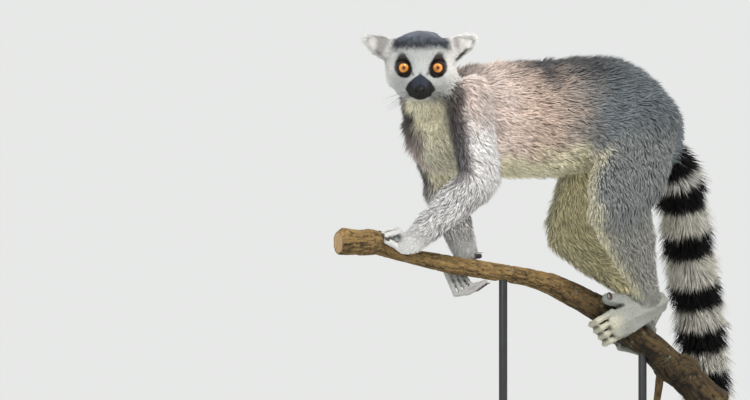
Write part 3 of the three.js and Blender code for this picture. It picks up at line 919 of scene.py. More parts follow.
def trunk_colours(skin):
    points, out = skin.points / MM, skin.out
    x, y, z = points.T
    edge = wobble(points, 14, 10) + wobble(points, 4, 4)
    flank = mix(SHOULDER, FLANK, ramp(x + edge, -90, -40))
    flank = mix(flank, RUMP, ramp(x + 1.4 * edge, -45, 40))
    # The upper back is grey, and made darker still as painted shade.
    shaded_back = mix(BACK, RUMP, ramp(x, 30, 90))
    colour = mix(flank, shaded_back, ramp(z + edge, 545, 580) * ramp(x + edge, -80, -30))
    # The dark nape runs onto the top of the shoulders: partly its own grey, partly painted shadow of the
    # head.
    colour = mix(colour, NAPE, ramp(-x + edge, 68, 100) * ramp(z, 552, 574) * 0.85)
    belly = ramp(501 - z + 0.7 * edge - 0.1 * np.abs(x), -9, 9) * ramp(110 - x, 0, 20)
    bib = 10 + 12 * ramp(-out[:, 2], 0.3, 0.65) - np.abs(y + 22) + edge * 0.25
    front = ramp(-out[:, 0] - 0.5 * out[:, 2], 0.0, 0.35) * ramp(bib, -3, 3)
    front *= ramp(-x, 85, 105) * ramp(-out[:, 2], -0.5, -0.2)
    # Painted shade: the chest's sides beside the cream front darken towards the nape's grey.
    chest_side_shade = ramp(-x, 112, 130) * (1 - front) * 0.8
    # Painted light: the lower chest between the arms is made paler, to lift the shade that falls under it.
    low_chest = ramp(-x, 70, 100) * ramp(515 - z, 0, 25)
    pale = mix(CREAM, WHITE * (1.05, 1.02, 0.85), low_chest)
    return mix(mix(colour, NAPE, chest_side_shade * ramp(z, 470, 520)), pale, np.maximum(belly, front))


def inner_side(skin):
    """1 on the side of a limb that faces the body's middle."""
    across = skin.out[:, 1] * np.sign(skin.points[:, 1])
    return ramp(-across, 0.15, 0.6)


def right_limbs(skin):
    """1 on the right limbs, which painted shade darkens, and 0 on the rest."""
    right = np.array([name.endswith("_r") for name in FLESH])[skin.labels]
    return spread(right.astype(float), skin.edges, 12)[:, None]


def upper_arm_colours(skin):
    """Pale outside, darkened by painted shade along the front edge, and cream within."""
    x, _, z = skin.points.T / MM
    base = mix(ARM, SHOULDER, ramp(z, 500, 545))
    # Painted shade: the arm's front edge and the top front of the shoulder are darkened.
    crest = ramp(-x, 125, 132) * ramp(z, 530, 546)
    front = np.maximum(ramp(-skin.out[:, 0], 0.5, 0.85), crest)
    dark = np.maximum(ramp(-skin.out[:, 0], 0.65, 0.95) * ramp(z, 495, 515), crest)
    base = mix(base, mix(SHOULDER_DARK, SHOULDER_EDGE_SHADE, dark * 0.8), front * 0.9)
    return mix(base, CREAM, inner_side(skin) * (1 - 0.4 * front))


def forearm_colours(skin):
    """Pale, with a grey band behind, and white towards the wrist."""
    band = hill(skin.out[:, 0], 0.45, 0.22)
    base = mix(ARM * 0.9, SHOULDER_DARK, band * 0.4)
    base = mix(base, HAND, inner_side(skin) * 0.8)
    base = mix(base, HAND, near_joint(skin.points))
    # Painted shade: the right forearm is darker.
    return base * (1 - 0.28 * right_limbs(skin))


def hand_colours(skin):
    """White hands, the right one darkened by painted shade; its thumb shows a dark bare pad beside the
    wrist.
    """
    base = HAND * (1 - 0.42 * right_limbs(skin))
    return mix(base, PALM, skin.thumb_pad)


def foot_colours(skin):
    """Pale grey, yellower towards the toes."""
    toes = ramp(-skin.points[:, 0] / MM, -72, -50) * ramp(-skin.points[:, 2] / MM, -345, -335)
    return mix(FOOT, CREAM, toes * 0.5)


def thigh_colours(skin):
    base = mix(THIGH, RUMP, ramp(skin.points[:, 2] / MM, 500, 545))
    front = ramp(-skin.out[:, 0], 0.45, 0.9) * 0.6
    # Painted shade darkens the right leg.
    return mix(base, CREAM, np.maximum(inner_side(skin), front)) * (1 - RIGHT_LEG_SHADE * right_limbs(skin))


def shank_colours(skin):
    front = ramp(-skin.out[:, 0], 0.2, 0.75)
    base = mix(SHANK, CREAM, np.maximum(inner_side(skin), front * 0.9))
    # Painted shade darkens the right leg.
    return base * (1 - RIGHT_LEG_SHADE * right_limbs(skin))


def pepper(skin):
    """How strongly dark and light hairs are mixed: most on the forearms, and not on face or tail."""
    mixed = spread(by_kind(skin.labels, "pepper"), skin.edges, 10)
    return mixed * (1 - near_joint(skin.points))


def tail_colours(points, along):
    """White and black rings, a grey root and a black tip, at places `along` the tail."""
    length = TAIL_ALONG[-1] / MM
    tail = along / MM + wobble(points, 6 * MM, 1.5)
    rings = [*RINGS, *np.arange(RINGS[-1] + RING_STEP, length - RING_STEP / 2, RING_STEP)]
    away = np.abs(tail[:, None] - np.array(rings)).min(axis=1)
    dark = np.maximum(ramp(RING_WIDTH / 2 - away, -1, 1), ramp(tail - (length - TIP_LENGTH), -2, 2))
    pale = mix(TAIL_WHITE, TAIL_ROOT, ramp(RINGS[1] - tail, -10, 10) * 0.4)
    return mix(pale, TAIL_BLACK, dark)


def markings_and_painted_light(skin):
    """The coat's colour at each point of the skin, in linear light, with its painted light and shade."""
    parts = dict(
        head=head_colours(skin),
        ear=ear_colours(skin),
        neck=neck_colours(skin),
        trunk=trunk_colours(skin),
        upper_arm=upper_arm_colours(skin),
        forearm=forearm_colours(skin),
        hand=hand_colours(skin),
        thigh=thigh_colours(skin),
        shank=shank_colours(skin),
        foot=foot_colours(skin),
        tail=tail_colours(skin.points, skin.tail),
    )
    total = sum(parts[kind] * skin.share[kind][:, None] for kind in PARTS)
    tone = 0.88 + 0.24 * noise(skin.points, 14 * MM)
    # Painted shade: the creases of hands and feet are darkened.
    tone *= 1 - 0.8 * skin.hollow * (skin.share["hand"] + skin.share["foot"])
    return total * tone[:, None] / sum(skin.share.values())[:, None]


skin.colour = markings_and_painted_light(skin)
skin.pepper = pepper(skin)

# ---- lie of the coat ----


def along_skin(ways, skin):
    """Ways turned so that each lies flat on the skin."""
    return unit(ways - skin.out * (ways * skin.out).sum(axis=1)[:, None])


def lie_of_coat(skin):
    """The way the hair points at each point of the skin: from nose to tail and down the limbs."""
    lie = np.zeros_like(skin.points)
    kinds = np.array([KIND_OF[name] for name in FLESH])[skin.labels]
    lie[kinds == "trunk"] = (1, 0, -0.22)
    lie[kinds == "neck"] = unit(middle("chest") - middle("head"))
    on_head = kinds == "head"
    nose = from_head([0, 30, -14])
    lie[on_head] = unit(skin.points[on_head] - nose) - FORWARD * 0.25
    for side in SIDES:
        for chain in (("chest", "upper_arm", "forearm", "hand"), ("rump", "thigh", "shank", "foot")):
            nodes = [chain[0], *[f"{part}_{side}" for part in chain[1:]]]
            stops = [seam(a, b) for a, b in zip(nodes, nodes[1:])] + [middle(nodes[-1])]
            for node, start, end in zip(nodes[1:], stops, stops[1:]):
                # Over shoulder and hip, where the limb's own line stands square to the skin, the
                # hair lies back, and over the shoulder it lies outwards too.
                back = X * (0.5 if KIND_OF[node] in ("upper_arm", "thigh") else 0)
                back = back + Y * (0.5 * np.sign(end[1]) if KIND_OF[node] == "upper_arm" else 0)
                lie[skin.labels == FLESH.index(node)] = unit(end - start) + back
        ear = skin.labels == FLESH.index("ear_" + side)
        root = from_head([(1 if side == "l" else -1) * 22, -24, 10])
        lie[ear] = unit(skin.points[ear] - root)
    step = unit(np.gradient(TAIL_LINE, axis=0))
    tail = kinds == "tail"
    lie[tail] = step[skin.tail_index[tail]]
    for _ in range(12):
        lie = spread(along_skin(lie, skin), skin.edges, 4)
    return along_skin(lie, skin)


skin.lie = lie_of_coat(skin)

# ---- coat ----


def hair_sizes(skin):
    """Length, width and lift at each point of the skin, in metres."""
    share = skin.share
    total = sum(share.values())[:, None]
    sizes = sum(np.outer(share[kind], part.hair) for kind, part in PARTS.items()) / total
    x, y, _ = skin.points.T / MM
    aside, ahead, up = skin.head.T
    facing = ramp(skin.out @ FORWARD, 0.35, 0.8)
    rim = 1 - ramp(np.abs(skin.out @ FORWARD), 0.35, 0.8)
    # Each place, and by how much of their usual size length, width and lift grow there.
    changes = [
        (share["trunk"] * ramp(-x, 95, 125), (-0.3, -0.3, -0.3)),  # chest
        ((share["trunk"] + share["neck"]) * ramp(-x, 115, 135) * ramp(y, -8, 2), (0.5, 0, 1.2)),  # ruff
        (share["head"] * ramp(ahead, -26, 6), (-0.55, -0.55, -0.55)),  # face
        (share["head"] * ramp(ahead, 6, 14), (-0.45, 0, -0.45)),  # muzzle
        (share["head"] * ramp(-ahead, -2, 14) * ramp(-up, -4, 12), (1.0, 0, 1.5)),  # cheeks
        (share["ear"] * facing, (-0.4, -0.4, -0.4)),
        (share["ear"] * rim * ramp(np.abs(aside), 28, 42), (0.9, 0, 1.6)),  # fringe of the ears
        (near_joint(skin.points) * (share["forearm"] + share["shank"]), (-0.45, -0.45, -0.45)),
    ]
    for side in SIDES:
        beside_eye = 1 - ramp(eye_place(skin.points, side)[0], 9, 14)
        changes.append((beside_eye, (-0.5, 0, -0.5)))
    for where, growth in changes:
        sizes *= 1 + np.outer(where, growth)
    return sizes * MM


skin.hair = hair_sizes(skin)


def unwrapped(points, along=None):
    """A place in the unit square for each root: round and along the part's own long axis."""
    centred = points - points.mean(axis=0)
    axes = np.linalg.svd(centred[:: max(1, len(points) // 4000)], full_matrices=False)[2]
    if along is None:
        along = centred @ axes[0]
    round_it = np.arctan2(centred @ axes[2], centred @ axes[1])
    u = (round_it - round_it.min()) / np.ptp(round_it)
    v = (along - along.min()) / np.ptp(along)
    return np.stack([u, v], axis=1) * 0.996


TUFT_SECTION = [(-1, 0), (1, 0), (0, 0.62)]  # sideways and outwards, in half-widths
PATCH = 0.003  # a tuft's breadth and height on the unwrapped skin
DARK_SHARE = 0.36  # of the hairs, where dark and light ones are mixed
DARK_HAIR, LIGHT_HAIR = -0.62, 0.25  # how far their tones are from the coat's own
SKIN_SHADE = 0.72  # of the skin under the hair, as a share of the coat's; darker as painted shade


def tuft_faces(count, levels):
    """Triangles of `count` closed tufts, each with `levels` rings of three points and a tip."""
    ring = [[0, 2, 1]]
    for level in range(levels - 1):
        for k in range(3):
            a, b = level * 3 + k, level * 3 + (k + 1) % 3
            ring += [[a, b, b + 3], [a, b + 3, a + 3]]
    base, tip = (levels - 1) * 3, levels * 3
    ring += [[base + k, base + (k + 1) % 3, tip] for k in range(3)]
    stride = levels * 3 + 1
    return (np.arange(count)[:, None, None] * stride + np.array(ring)).reshape(-1, 3)


def root_sampler(rng, nodes, count, density):
    """Strews roots over the skin of some nodes, and returns what reads a skin value at each."""
    corners = skin.faces
    wanted = np.isin(skin.labels, [FLESH.index(n) for n in nodes])[corners[:, 0]]
    wanted &= ~skin.bare[corners].any(axis=1)
    weight = np.linalg.norm(face_normals(skin.points, corners), axis=1) * wanted
    if density is not None:
        weight = weight * density[corners].mean(axis=1)
    steps = np.cumsum(weight)
    at = (np.arange(count) + rng.random(count)) / count * steps[-1]
    face = corners[np.minimum(np.searchsorted(steps, at), len(corners) - 1)]
    shares = corner_shares(rng, count)
    return lambda values: (values[face] * (shares if values.ndim == 2 else shares[..., 0])).sum(axis=1)


def add_coat(name, nodes, count, slot, seed, levels=2, density=None):
    """One piece of the coat: solid tufts rooted all over the skin of some nodes."""
    rng = np.random.default_rng(seed + 100)
    count = int(count * TUFT_SHARE)
    sample = root_sampler(rng, nodes, count, density)
    root, out, lie = sample(skin.points), unit(sample(skin.out)), unit(sample(skin.lie))
    colour, sizes, tail = sample(skin.colour), sample(skin.hair), sample(skin.tail)
    pepper_tone = np.where(rng.random(count) < DARK_SHARE, DARK_HAIR, LIGHT_HAIR)
    colour *= (1 + sample(skin.pepper) * pepper_tone)[:, None]
    length, width, lift = sizes.T
    length = length * rng.uniform(0.72, 1.2, count)
    width = width * rng.uniform(0.8, 1.25, count)
    # Locks: hairs near each other lean together, and a few stray.
    lean = (noise(root, 9 * MM, 3.7) - 0.5) * 1.0 + (noise(root, 3.2 * MM, 9.1) - 0.5) * 0.7
    lean += rng.normal(0, 0.13, count)
    lie = unit(lie * np.cos(lean)[:, None] + np.cross(out, lie) * np.sin(lean)[:, None])
    side = np.cross(out, lie)
    lift = lift * (0.55 + 0.8 * noise(root, 5 * MM, 1.3)) * rng.uniform(0.6, 1.25, count)
    rise = np.clip(lift / length, 0, 0.75)
    reach = np.sqrt(1 - rise**2)
    stride = levels * 3 + 1
    points = np.empty((count, stride, 3))
    tones = np.empty((count, stride))
    colours = np.repeat(colour[:, None], stride, axis=1)
    places = np.empty((count, stride, 2))
    on_tail = nodes[0] in TAIL
    spot = unwrapped(root, TAIL_ALONG[nearest_on(TAIL_LINE, root)] if on_tail else None)
    for level in range(levels + 1):
        t = level / levels
        tip = level == levels
        # The hair leaves the skin steeply and lies down towards its tip.
        height = rise * length * (1.35 * t - 0.35 * t * t) - (0.3 * MM if level == 0 else 0)
        centre = root + lie * (reach * length * t)[:, None] + out * height[:, None]
        half = width / 2 * (0.75 if level == 0 else 1.0 - 0.45 * (level - 1))
        for k, (across, outward) in enumerate([(0, 0)] if tip else TUFT_SECTION):
            i = level * 3 + k
            points[:, i] = centre + side * (half * across)[:, None] + out * (half * outward)[:, None]
            tones[:, i] = 0.7 + 0.42 * t
            if on_tail:
                colours[:, i] = tail_colours(root, tail + 0.7 * reach * length * t)
            places[:, i] = spot + PATCH * np.array([0.5 if tip else k / 2, t])
    tones *= rng.normal(1.0, 0.1, (count, 1)).clip(0.7, 1.35)
    painted = np.clip(colours * tones[..., None], 0, 1).reshape(-1, 3)
    faces = tuft_faces(count, levels)
    coat = add_piece(name, points.reshape(-1, 3), faces, FUR[slot], slot, *nodes, Col=painted)
    layer = coat.data.uv_layers.new(name="OFBake")
    layer.data.foreach_set("uv", places.reshape(-1, 2)[faces.ravel()].astype(np.float32).ravel())


FUR = {slot: fur_material(slot) for slot in ("grey_fur", "pale_fur", "ringed_fur")}

# The skin takes the coat's colour, darkened as painted shade under the hair.
painted = np.clip(skin.colour * SKIN_SHADE, 0, 1)
add_piece("skin", skin.points, skin.faces, skin_material(), "grey_fur", *FLESH, Col=painted)

crown = ramp(skin.head[:, 2], 12, 16)
front = 1 + 1.2 * ramp(skin.head[:, 1], -20, 5)
add_coat("coat_face", ["head"], 19500, "pale_fur", density=front * (1 - crown), seed=1)
add_coat("coat_crown", ["head"], 9000, "pale_fur", density=crown, seed=7)
add_coat("coat_ears", ["ear_l", "ear_r"], 7000, "pale_fur", seed=2)
add_coat("coat_neck", ["neck"], 5500, "pale_fur", seed=3)
add_coat("coat_shoulders", ["chest"], 12000, "grey_fur", seed=4)
add_coat("coat_belly", ["belly"], 10500, "grey_fur", seed=5)
add_coat("coat_rump", ["rump"], 8500, "grey_fur", seed=6)
for i, side in enumerate(SIDES):
    add_coat(f"coat_arm_{side}", [f"upper_arm_{side}", f"forearm_{side}"], 8400, "grey_fur", seed=10 + i)
    add_coat(f"coat_leg_{side}", [f"thigh_{side}", f"shank_{side}"], 9300, "grey_fur", seed=20 + i)
    add_coat(f"coat_hand_{side}", [f"hand_{side}"], 2500, "pale_fur", seed=30 + i)
    add_coat(f"coat_foot_{side}", [f"foot_{side}"], 3000, "pale_fur", seed=40 + i)
for i, place in enumerate(("root", "middle", "end")):
    add_coat(f"coat_tail_{place}", TAIL[2 * i : 2 * i + 2], 6500, "ringed_fur", levels=3, seed=50 + i)

# ---- eyes, lids and nose ----


def ball(pole, across, angles, spokes):
    """Directions over a sphere in rings round a pole, with their angles from it and round it."""
    third = np.cross(pole, across)
    a, b = crossed(angles, turns(spokes))
    ringed = across * np.cos(b)[:, None] + third * np.sin(b)[:, None]
    return pole * np.cos(a)[:, None] + ringed * np.sin(a)[:, None], a, b


def grid_faces(rings, spokes, closed=False):
    """Quads over rings of points; a closed grid also joins its last ring to its first."""
    i, j = crossed(np.arange(rings - (not closed)), np.arange(spokes))
    below, beside = (i + 1) % rings * spokes, (j + 1) % spokes
    return np.stack([i * spokes + j, below + j, below + beside, i * spokes + beside], axis=1)


def ball_faces(rings, spokes):
    """A grid of rings, whose two small end rings are closed by fans to two poles at its end."""
    j = np.arange(spokes)
    k = (j + 1) % spokes
    first, last = rings * spokes, (rings - 1) * spokes
    fans = [
        np.stack([np.full(spokes, first), j, k], axis=1),
        np.stack([np.full(spokes, first + 1), last + k, last + j], axis=1),
    ]
    return [grid_faces(rings, spokes), np.concatenate(fans)]


def add_eyeball(side):
    """An eyeball that looks at the viewer, with a cornea that bulges over the iris."""
    gaze = unit(EYE_POINT - EYES[side])
    across = unit(np.cross(gaze, Z))
    angles = np.radians(np.concatenate([np.linspace(1.5, 60, 40), np.linspace(64, 178, 20)]))
    spokes = 64
    directions, angle, around = ball(gaze, across, angles, spokes)
    bulge = np.cos(np.clip(angle / math.radians(IRIS_ANGLE + 6), 0, 1) * math.pi / 2) ** 1.3
    points = EYES[side] + directions * (EYE_RADIUS + CORNEA * bulge)[:, None]
    poles = EYES[side] + np.stack([gaze * (EYE_RADIUS + CORNEA), -gaze * EYE_RADIUS])
    points = np.concatenate([points, poles])
    faces = ball_faces(len(angles), spokes)
    share = np.concatenate([np.degrees(angle) / 90, [0, 2]])  # of a right angle from the gaze
    eye = add_piece("eyeball_" + side, points, faces, eyes, "eye", "eye_" + side, angle=share)
    fibres = np.zeros((len(points), 3), np.float32)
    fibres[:-2] = np.stack([np.cos(around) * 2.2, np.sin(around) * 2.2, angle * 0.5], axis=1)
    vectors = eye.data.attributes.new("spokes", "FLOAT_VECTOR", "POINT")
    vectors.data.foreach_set("vector", fibres.ravel())


def add_lids(side):
    """The bare dark rim of both lids, a soft ring that lies on the eyeball."""
    sign = 1 if side == "l" else -1
    steps, thick = 72, 12
    around, t = crossed(turns(steps), turns(thick))
    angle = np.radians(lid_opening(around)) + math.radians(1.5) + np.sin(t) * math.radians(3.2)
    distance = EYE_RADIUS / MM + 0.3 + np.cos(t) * 0.38
    outwards, upwards = sign * np.cos(around) * np.sin(angle), np.sin(around) * np.sin(angle)
    local = np.stack([outwards, np.cos(angle), upwards], axis=1)
    points = EYES[side] + (local * distance[:, None] * MM) @ HEAD
    quads = grid_faces(steps, thick, closed=True)[:, [0, 3, 2, 1]]
    add_piece("lids_" + side, points, quads[:, ::sign], lids, "dark_skin")


def add_nose():
    """The bare nose pad, with a comma-shaped nostril on each side and a groove down its middle."""
    centre = from_head([0, 33.5, -18.4])
    angles = np.radians(np.linspace(1.5, 178.5, 90))
    spokes = 120
    directions, _, _ = ball(FORWARD, LEFT, angles, spokes)
    directions = np.concatenate([directions, [FORWARD, -FORWARD]])
    local = directions @ HEAD.T
    x, y, z = local.T
    shape = local * (5.7, 4.3, 4.4)
    shape[:, 0] *= 1 - 0.28 * ramp(-z, 0, 1)  # narrower below
    nostril = hill(np.abs(x), 0.62, 0.2) * hill(z, -0.12, 0.3) * (y > 0)
    comma = hill(np.abs(x), 0.86, 0.16) * hill(z, 0, 0.1) * (y > -0.2)
    groove = hill(x, 0, 0.09) * ramp(-z, -0.3, 0.4) * (y > 0)
    shape -= local * (2.3 * nostril + 1.3 * comma + 0.7 * groove)[:, None]
    points = centre + shape * MM @ HEAD
    faces = ball_faces(len(angles), spokes)
    add_piece("nose_pad", points, faces, nose_leather, "dark_skin", "nose")


def add_whiskers():
    """Long tapered hairs beside the nose and over the eyes, each a closed tube that sags a little."""
    rng = np.random.default_rng(77)
    roots, ways, lengths = [], [], []
    for sign in (1, -1):
        for row in range(4):
            for column in range(4):
                roots.append([sign * (8.0 + column * 0.9), 27 - column * 2.6, -19.5 - row * 1.7])
                down = -0.3 - 0.14 * row + rng.normal(0, 0.08)
                ways.append([sign * (0.9 + 0.1 * column), 0.5 - 0.3 * column, down])
                lengths.append(rng.uniform(16, 27) + column * 2)
        for i in range(4):
            roots.append([sign * (13 + i * 1.6), 5.5 - 1.2 * i, 12.5])
            ways.append([sign * (0.2 + 0.15 * i), 0.35, 1 - 0.1 * i])
            lengths.append(rng.uniform(10, 15))
    face = skin.points[skin.labels == FLESH.index("head")]
    roots = face[nearest_on(face, from_head(roots))]
    ways = unit(np.array(ways)) @ HEAD
    lengths = np.array(lengths)[:, None] * MM
    side = unit(np.cross(ways, Z))
    top = np.cross(side, ways)
    levels = 6
    points = np.empty((len(roots), levels * 3 + 1, 3))
    for level in range(levels + 1):
        t = level / levels
        centre = roots + ways * lengths * t - Z * lengths * WHISKER_SAG * t * t
        for k in range(1 if level == levels else 3):
            turn = k * 2 * math.pi / 3
            ring = side * math.cos(turn) + top * math.sin(turn)
            points[:, level * 3 + k] = centre + ring * WHISKER_RADIUS * (1 - t)
    faces = tuft_faces(len(roots), levels)
    add_piece("whiskers", points.reshape(-1, 3), faces, whisker, "dark_skin")


eyes = eye_material()
lids = leather_material("lid_skin", srgb(26, 22, 20), srgb(48, 38, 34), 0.0001)
nose_leather = leather_material("nose_leather", srgb(8, 8, 8), srgb(21, 20, 20))
whisker = leather_material("whisker", srgb(28, 26, 26), srgb(50, 48, 46), 0.0)
for side in SIDES:
    add_eyeball(side)
    add_lids(side)
add_nose()
add_whiskers()

# ---- branch ----


def branch_radius(centres, directions):
    """The frame branch's radius in many directions, without its twig."""
    points, faces = SOLIDS["perch_branch"]
    tree = BVHTree.FromPolygons(points.tolist(), faces.tolist())
    flat = directions.reshape(-1, 3)
    starts = np.repeat(centres, directions.shape[1], axis=0)
    hits = [tree.ray_cast(s, d)[3] for s, d in zip(starts.tolist(), flat.tolist())]
    radius = np.array([np.nan if h is None else h for h in hits]).reshape(directions.shape[:2])
    usual = np.nanmedian(radius, axis=1, keepdims=True)
    radius = np.where(np.isnan(radius), usual, radius)
    return np.clip(radius, usual * 0.85, usual * 1.4)


def around_smooth(values, reach):
    """Smooths a map of the branch along it and round it."""
    for _ in range(reach):
        values = (values + np.roll(values, 1, 1) + np.roll(values, -1, 1)) / 3
        padded = np.pad(values, ((1, 1), (0, 0)), "edge")
        values = (padded[:-2] + padded[1:-1] + padded[2:]) / 3
    return values


def bark_relief(angle):
    """Lumps, ridges and cracks over the branch, in its own space: along it, and round it."""
    along = np.broadcast_to(BRANCH_ALONG[:, None], angle.shape)
    maps = []
    for stretch, size, shift in ((0.16, 5.5, 2.0), (0.16, 2.1, 5.0), (0.45, 1.7, 8.0)):
        place = np.stack([along * stretch, np.cos(angle) * 0.011, np.sin(angle) * 0.011], axis=2)
        maps.append(noise(place.reshape(-1, 3), size * MM, shift).reshape(angle.shape))
    lumps, ridges, cracks = maps
    return lumps, 1 - np.abs(2 * ridges - 1), ramp(1 - np.abs(2 * cracks - 1), 0.82, 1.0)


def add_branch():
    """Bark with long ridges, cracks and knots, over the frame branch's own shape."""
    spokes, rings = 72, len(BRANCH_LINE)
    way = unit(np.gradient(BRANCH_LINE, axis=0))
    side = unit(np.cross(way, Z))
    top = np.cross(side, way)
    turn = turns(spokes)
    directions = side[:, None] * np.cos(turn)[None, :, None] + top[:, None] * np.sin(turn)[None, :, None]
    inner = np.clip(np.arange(rings), 4, rings - 5)
    radius = around_smooth(branch_radius(BRANCH_LINE[inner], directions[inner]), 14)
    lumps, ridges, cracks = bark_relief(turn[None] + BRANCH_ALONG[:, None] * BRANCH_TWIST)
    height = 0.9 * (lumps - 0.75) - 0.75 * ramp(ridges, 0.55, 1) - 0.7 * cracks + 0.25
    ends = np.minimum(np.arange(rings), np.arange(rings)[::-1])
    rim = 1 - 0.06 * (ends == 0) - 0.02 * (ends == 1)
    radius = (radius + np.minimum(height, 0.2) * MM) * rim[:, None]
    wall = BRANCH_LINE[:, None] + directions * radius[..., None]
    tone = 0.62 + 0.42 * lumps - 0.4 * ramp(ridges, 0.5, 1) - 0.45 * cracks
    # Painted shade: the bark darkens towards the branch's right end and on its underside.
    tone -= 0.2 * ramp(BRANCH_LINE[:, :1] / MM, -20, 90) + 0.2 * ramp(-directions[..., 2], -0.2, 0.7)
    colour = mix(BARK_DARK, BARK_LIGHT, np.clip(tone.ravel(), 0, 1))
    # More painted shade towards the right end.
    colour *= 1 - 0.68 * np.repeat(ramp(BRANCH_LINE[:, 0] / MM, -30, 60), spokes)[:, None]
    points, faces, colours = [wall.reshape(-1, 3)], [grid_faces(rings, spokes)], [colour]
    count = rings * spokes
    # Each sawn end: rings of growth round a small pith, and two checks.
    checks = hill(turn, 1.1, 0.07) + hill(turn, 4.0, 0.05)
    for end, sign in ((0, -1), (-1, 1)):
        previous = (0 if end == 0 else (rings - 1) * spokes) + np.arange(spokes)
        for share in np.linspace(0.93, 0.06, 14):
            circle = BRANCH_LINE[end] + directions[end] * (radius[end] * share)[:, None]
            check = checks * share
            circle = circle - way[end] * sign * (0.25 * (1 - share) + 1.2 * check)[:, None] * MM
            points.append(circle)
            grain = 0.75 + 0.25 * math.cos(share * 60)
            colours.append(WOOD * (grain if share < 0.9 else 0.5) * (1 - 0.6 * check)[:, None])
            current = count + np.arange(spokes)
            quad = np.stack([previous, np.roll(previous, -1), np.roll(current, -1), current], axis=1)
            faces.append(quad[:, ::sign])
            previous = current
            count += spokes
        points.append(BRANCH_LINE[end][None])
        colours.append(PITH[None])
        fan = np.stack([previous, np.roll(previous, -1), np.full(spokes, count)], axis=1)
        faces.append(fan[:, ::sign])
        count += 1
    points = np.concatenate(points)
    add_piece("branch", points, faces, bark, "bark", "perch_branch", Col=np.concatenate(colours))


def add_twig():
    """The stub of a broken twig, which tapers to a splintered end."""
    points = SOLIDS["perch_branch"][0]
    reach = np.linalg.norm(points - BRANCH_LINE[nearest_on(BRANCH_LINE, points)], axis=1)
    last = points[reach > reach.max() - 4 * MM]
    tip = last.mean(axis=0)
    root = BRANCH_LINE[nearest_on(BRANCH_LINE, tip[None])[0] - 12]
    way = unit(tip - root)
    side = unit(np.cross(way, Y))
    rings, spokes = 60, 40
    t, turn = np.meshgrid(np.linspace(1, 0, rings), turns(spokes), indexing="ij")
    cos, sin = np.cos(turn)[..., None], np.sin(turn)[..., None]
    place = np.concatenate([t[..., None] * 4, cos, sin], axis=2).reshape(-1, 3)
    lumps = noise(place, 0.6).reshape(t.shape)
    radius = np.linalg.norm(last - tip, axis=1).max() * (1.3 - 0.3 * t) + (lumps - 0.7) * MM
    along = np.linalg.norm(tip - root) * t + 3 * MM * lumps * (t == 1)  # splintered at its tip
    circle = side * cos + np.cross(side, way) * sin
    wall = root + way * along[..., None] + circle * radius[..., None]
    poles = np.stack([root + way * (along[0].mean() - 2 * MM), root])
    points = np.concatenate([wall.reshape(-1, 3), poles])
    painted = mix(BARK_DARK, BARK_LIGHT, np.concatenate([lumps.ravel(), [1, 0]])) * 0.6
    faces = ball_faces(rings, spokes)
    add_piece("twig", points, faces, bark, "bark", "perch_branch", Col=painted)


BARK_DARK = srgb(34, 25, 13)
BARK_LIGHT = srgb(148, 120, 74)
WOOD = srgb(196, 164, 118)
PITH = srgb(110, 82, 54)
BRANCH_TWIST = 7.0  # radians to the metre that the bark's grain turns
bark = bark_material()
add_branch()
add_twig()

# ---- nails ----


def add_nails(grip):
    """Five arched nails, each over the frame's own nail."""
    nodes = [f"{grip}_nail_{i}" for i in range(1, 6)]
    rings, spokes = 16, 24
    directions, _, _ = ball(X, Y, np.radians(np.linspace(3, 177, rings)), spokes)
    shape = np.concatenate([directions, [X, -X]])
    shape = np.sign(shape) * np.abs(shape) ** 0.85
    points = []
    for node in nodes:
        solid = SOLIDS[node][0]
        centre = solid.mean(axis=0)
        axes = np.linalg.svd(solid - centre, full_matrices=False)[2]
        out = centre - BRANCH_LINE[nearest_on(BRANCH_LINE, centre[None])[0]]
        thick = axes[2] * np.sign(axes[2] @ out)
        axes = np.stack([axes[0], np.cross(axes[0], thick), thick])
        half = np.abs((solid - centre) @ axes.T).max(axis=0)
        plate = shape * (half * (1.02, 0.96, 0.55))
        arch = (plate[:, 1] / half[1]) ** 2 * 0.8 + (plate[:, 0] / half[0]) ** 2 * 0.5
        plate[:, 2] += half[2] * (0.35 - arch)
        points.append(centre + plate @ axes)
    starts = np.arange(len(nodes))[:, None, None] * len(shape)
    faces = [(f + starts).reshape(-1, f.shape[1]) for f in ball_faces(rings, spokes)]
    add_piece("nails_" + grip, np.concatenate(points), faces, nail_horn, "nail", *nodes)


nail_horn = nail_material()
for grip in ("hand_l", "hand_r", "foot_l", "foot_r"):
    add_nails(grip)

# ---- stand ----

BASE_CORNER = 40 * MM
BASE_BEVEL = 2.5 * MM


def turned(name, x, y, profile, node):
    """A turned metal piece: profile is (radius, z) from the bottom of its wall to the top."""
    spokes = 48
    turn = turns(spokes)
    circle = np.stack([np.cos(turn), np.sin(turn), np.zeros(spokes)], axis=1)
    rings = [np.array([x, y, z]) + circle * r for r, z in profile[::-1]]
    poles = np.array([[x, y, profile[-1][1]], [x, y, profile[0][1]]])
    points = np.concatenate([*rings, poles])
    add_piece(name, points, ball_faces(len(rings), spokes), metal, "stand_metal", node)


def rounded_rim(radius, low, high, bevel):
    """A wall's profile with its top edge rounded."""
    arc = np.linspace(0, math.pi / 2, 5)
    corner = [(radius - bevel + bevel * math.cos(a), high - bevel + bevel * math.sin(a)) for a in arc]
    return [(radius, low), *corner]


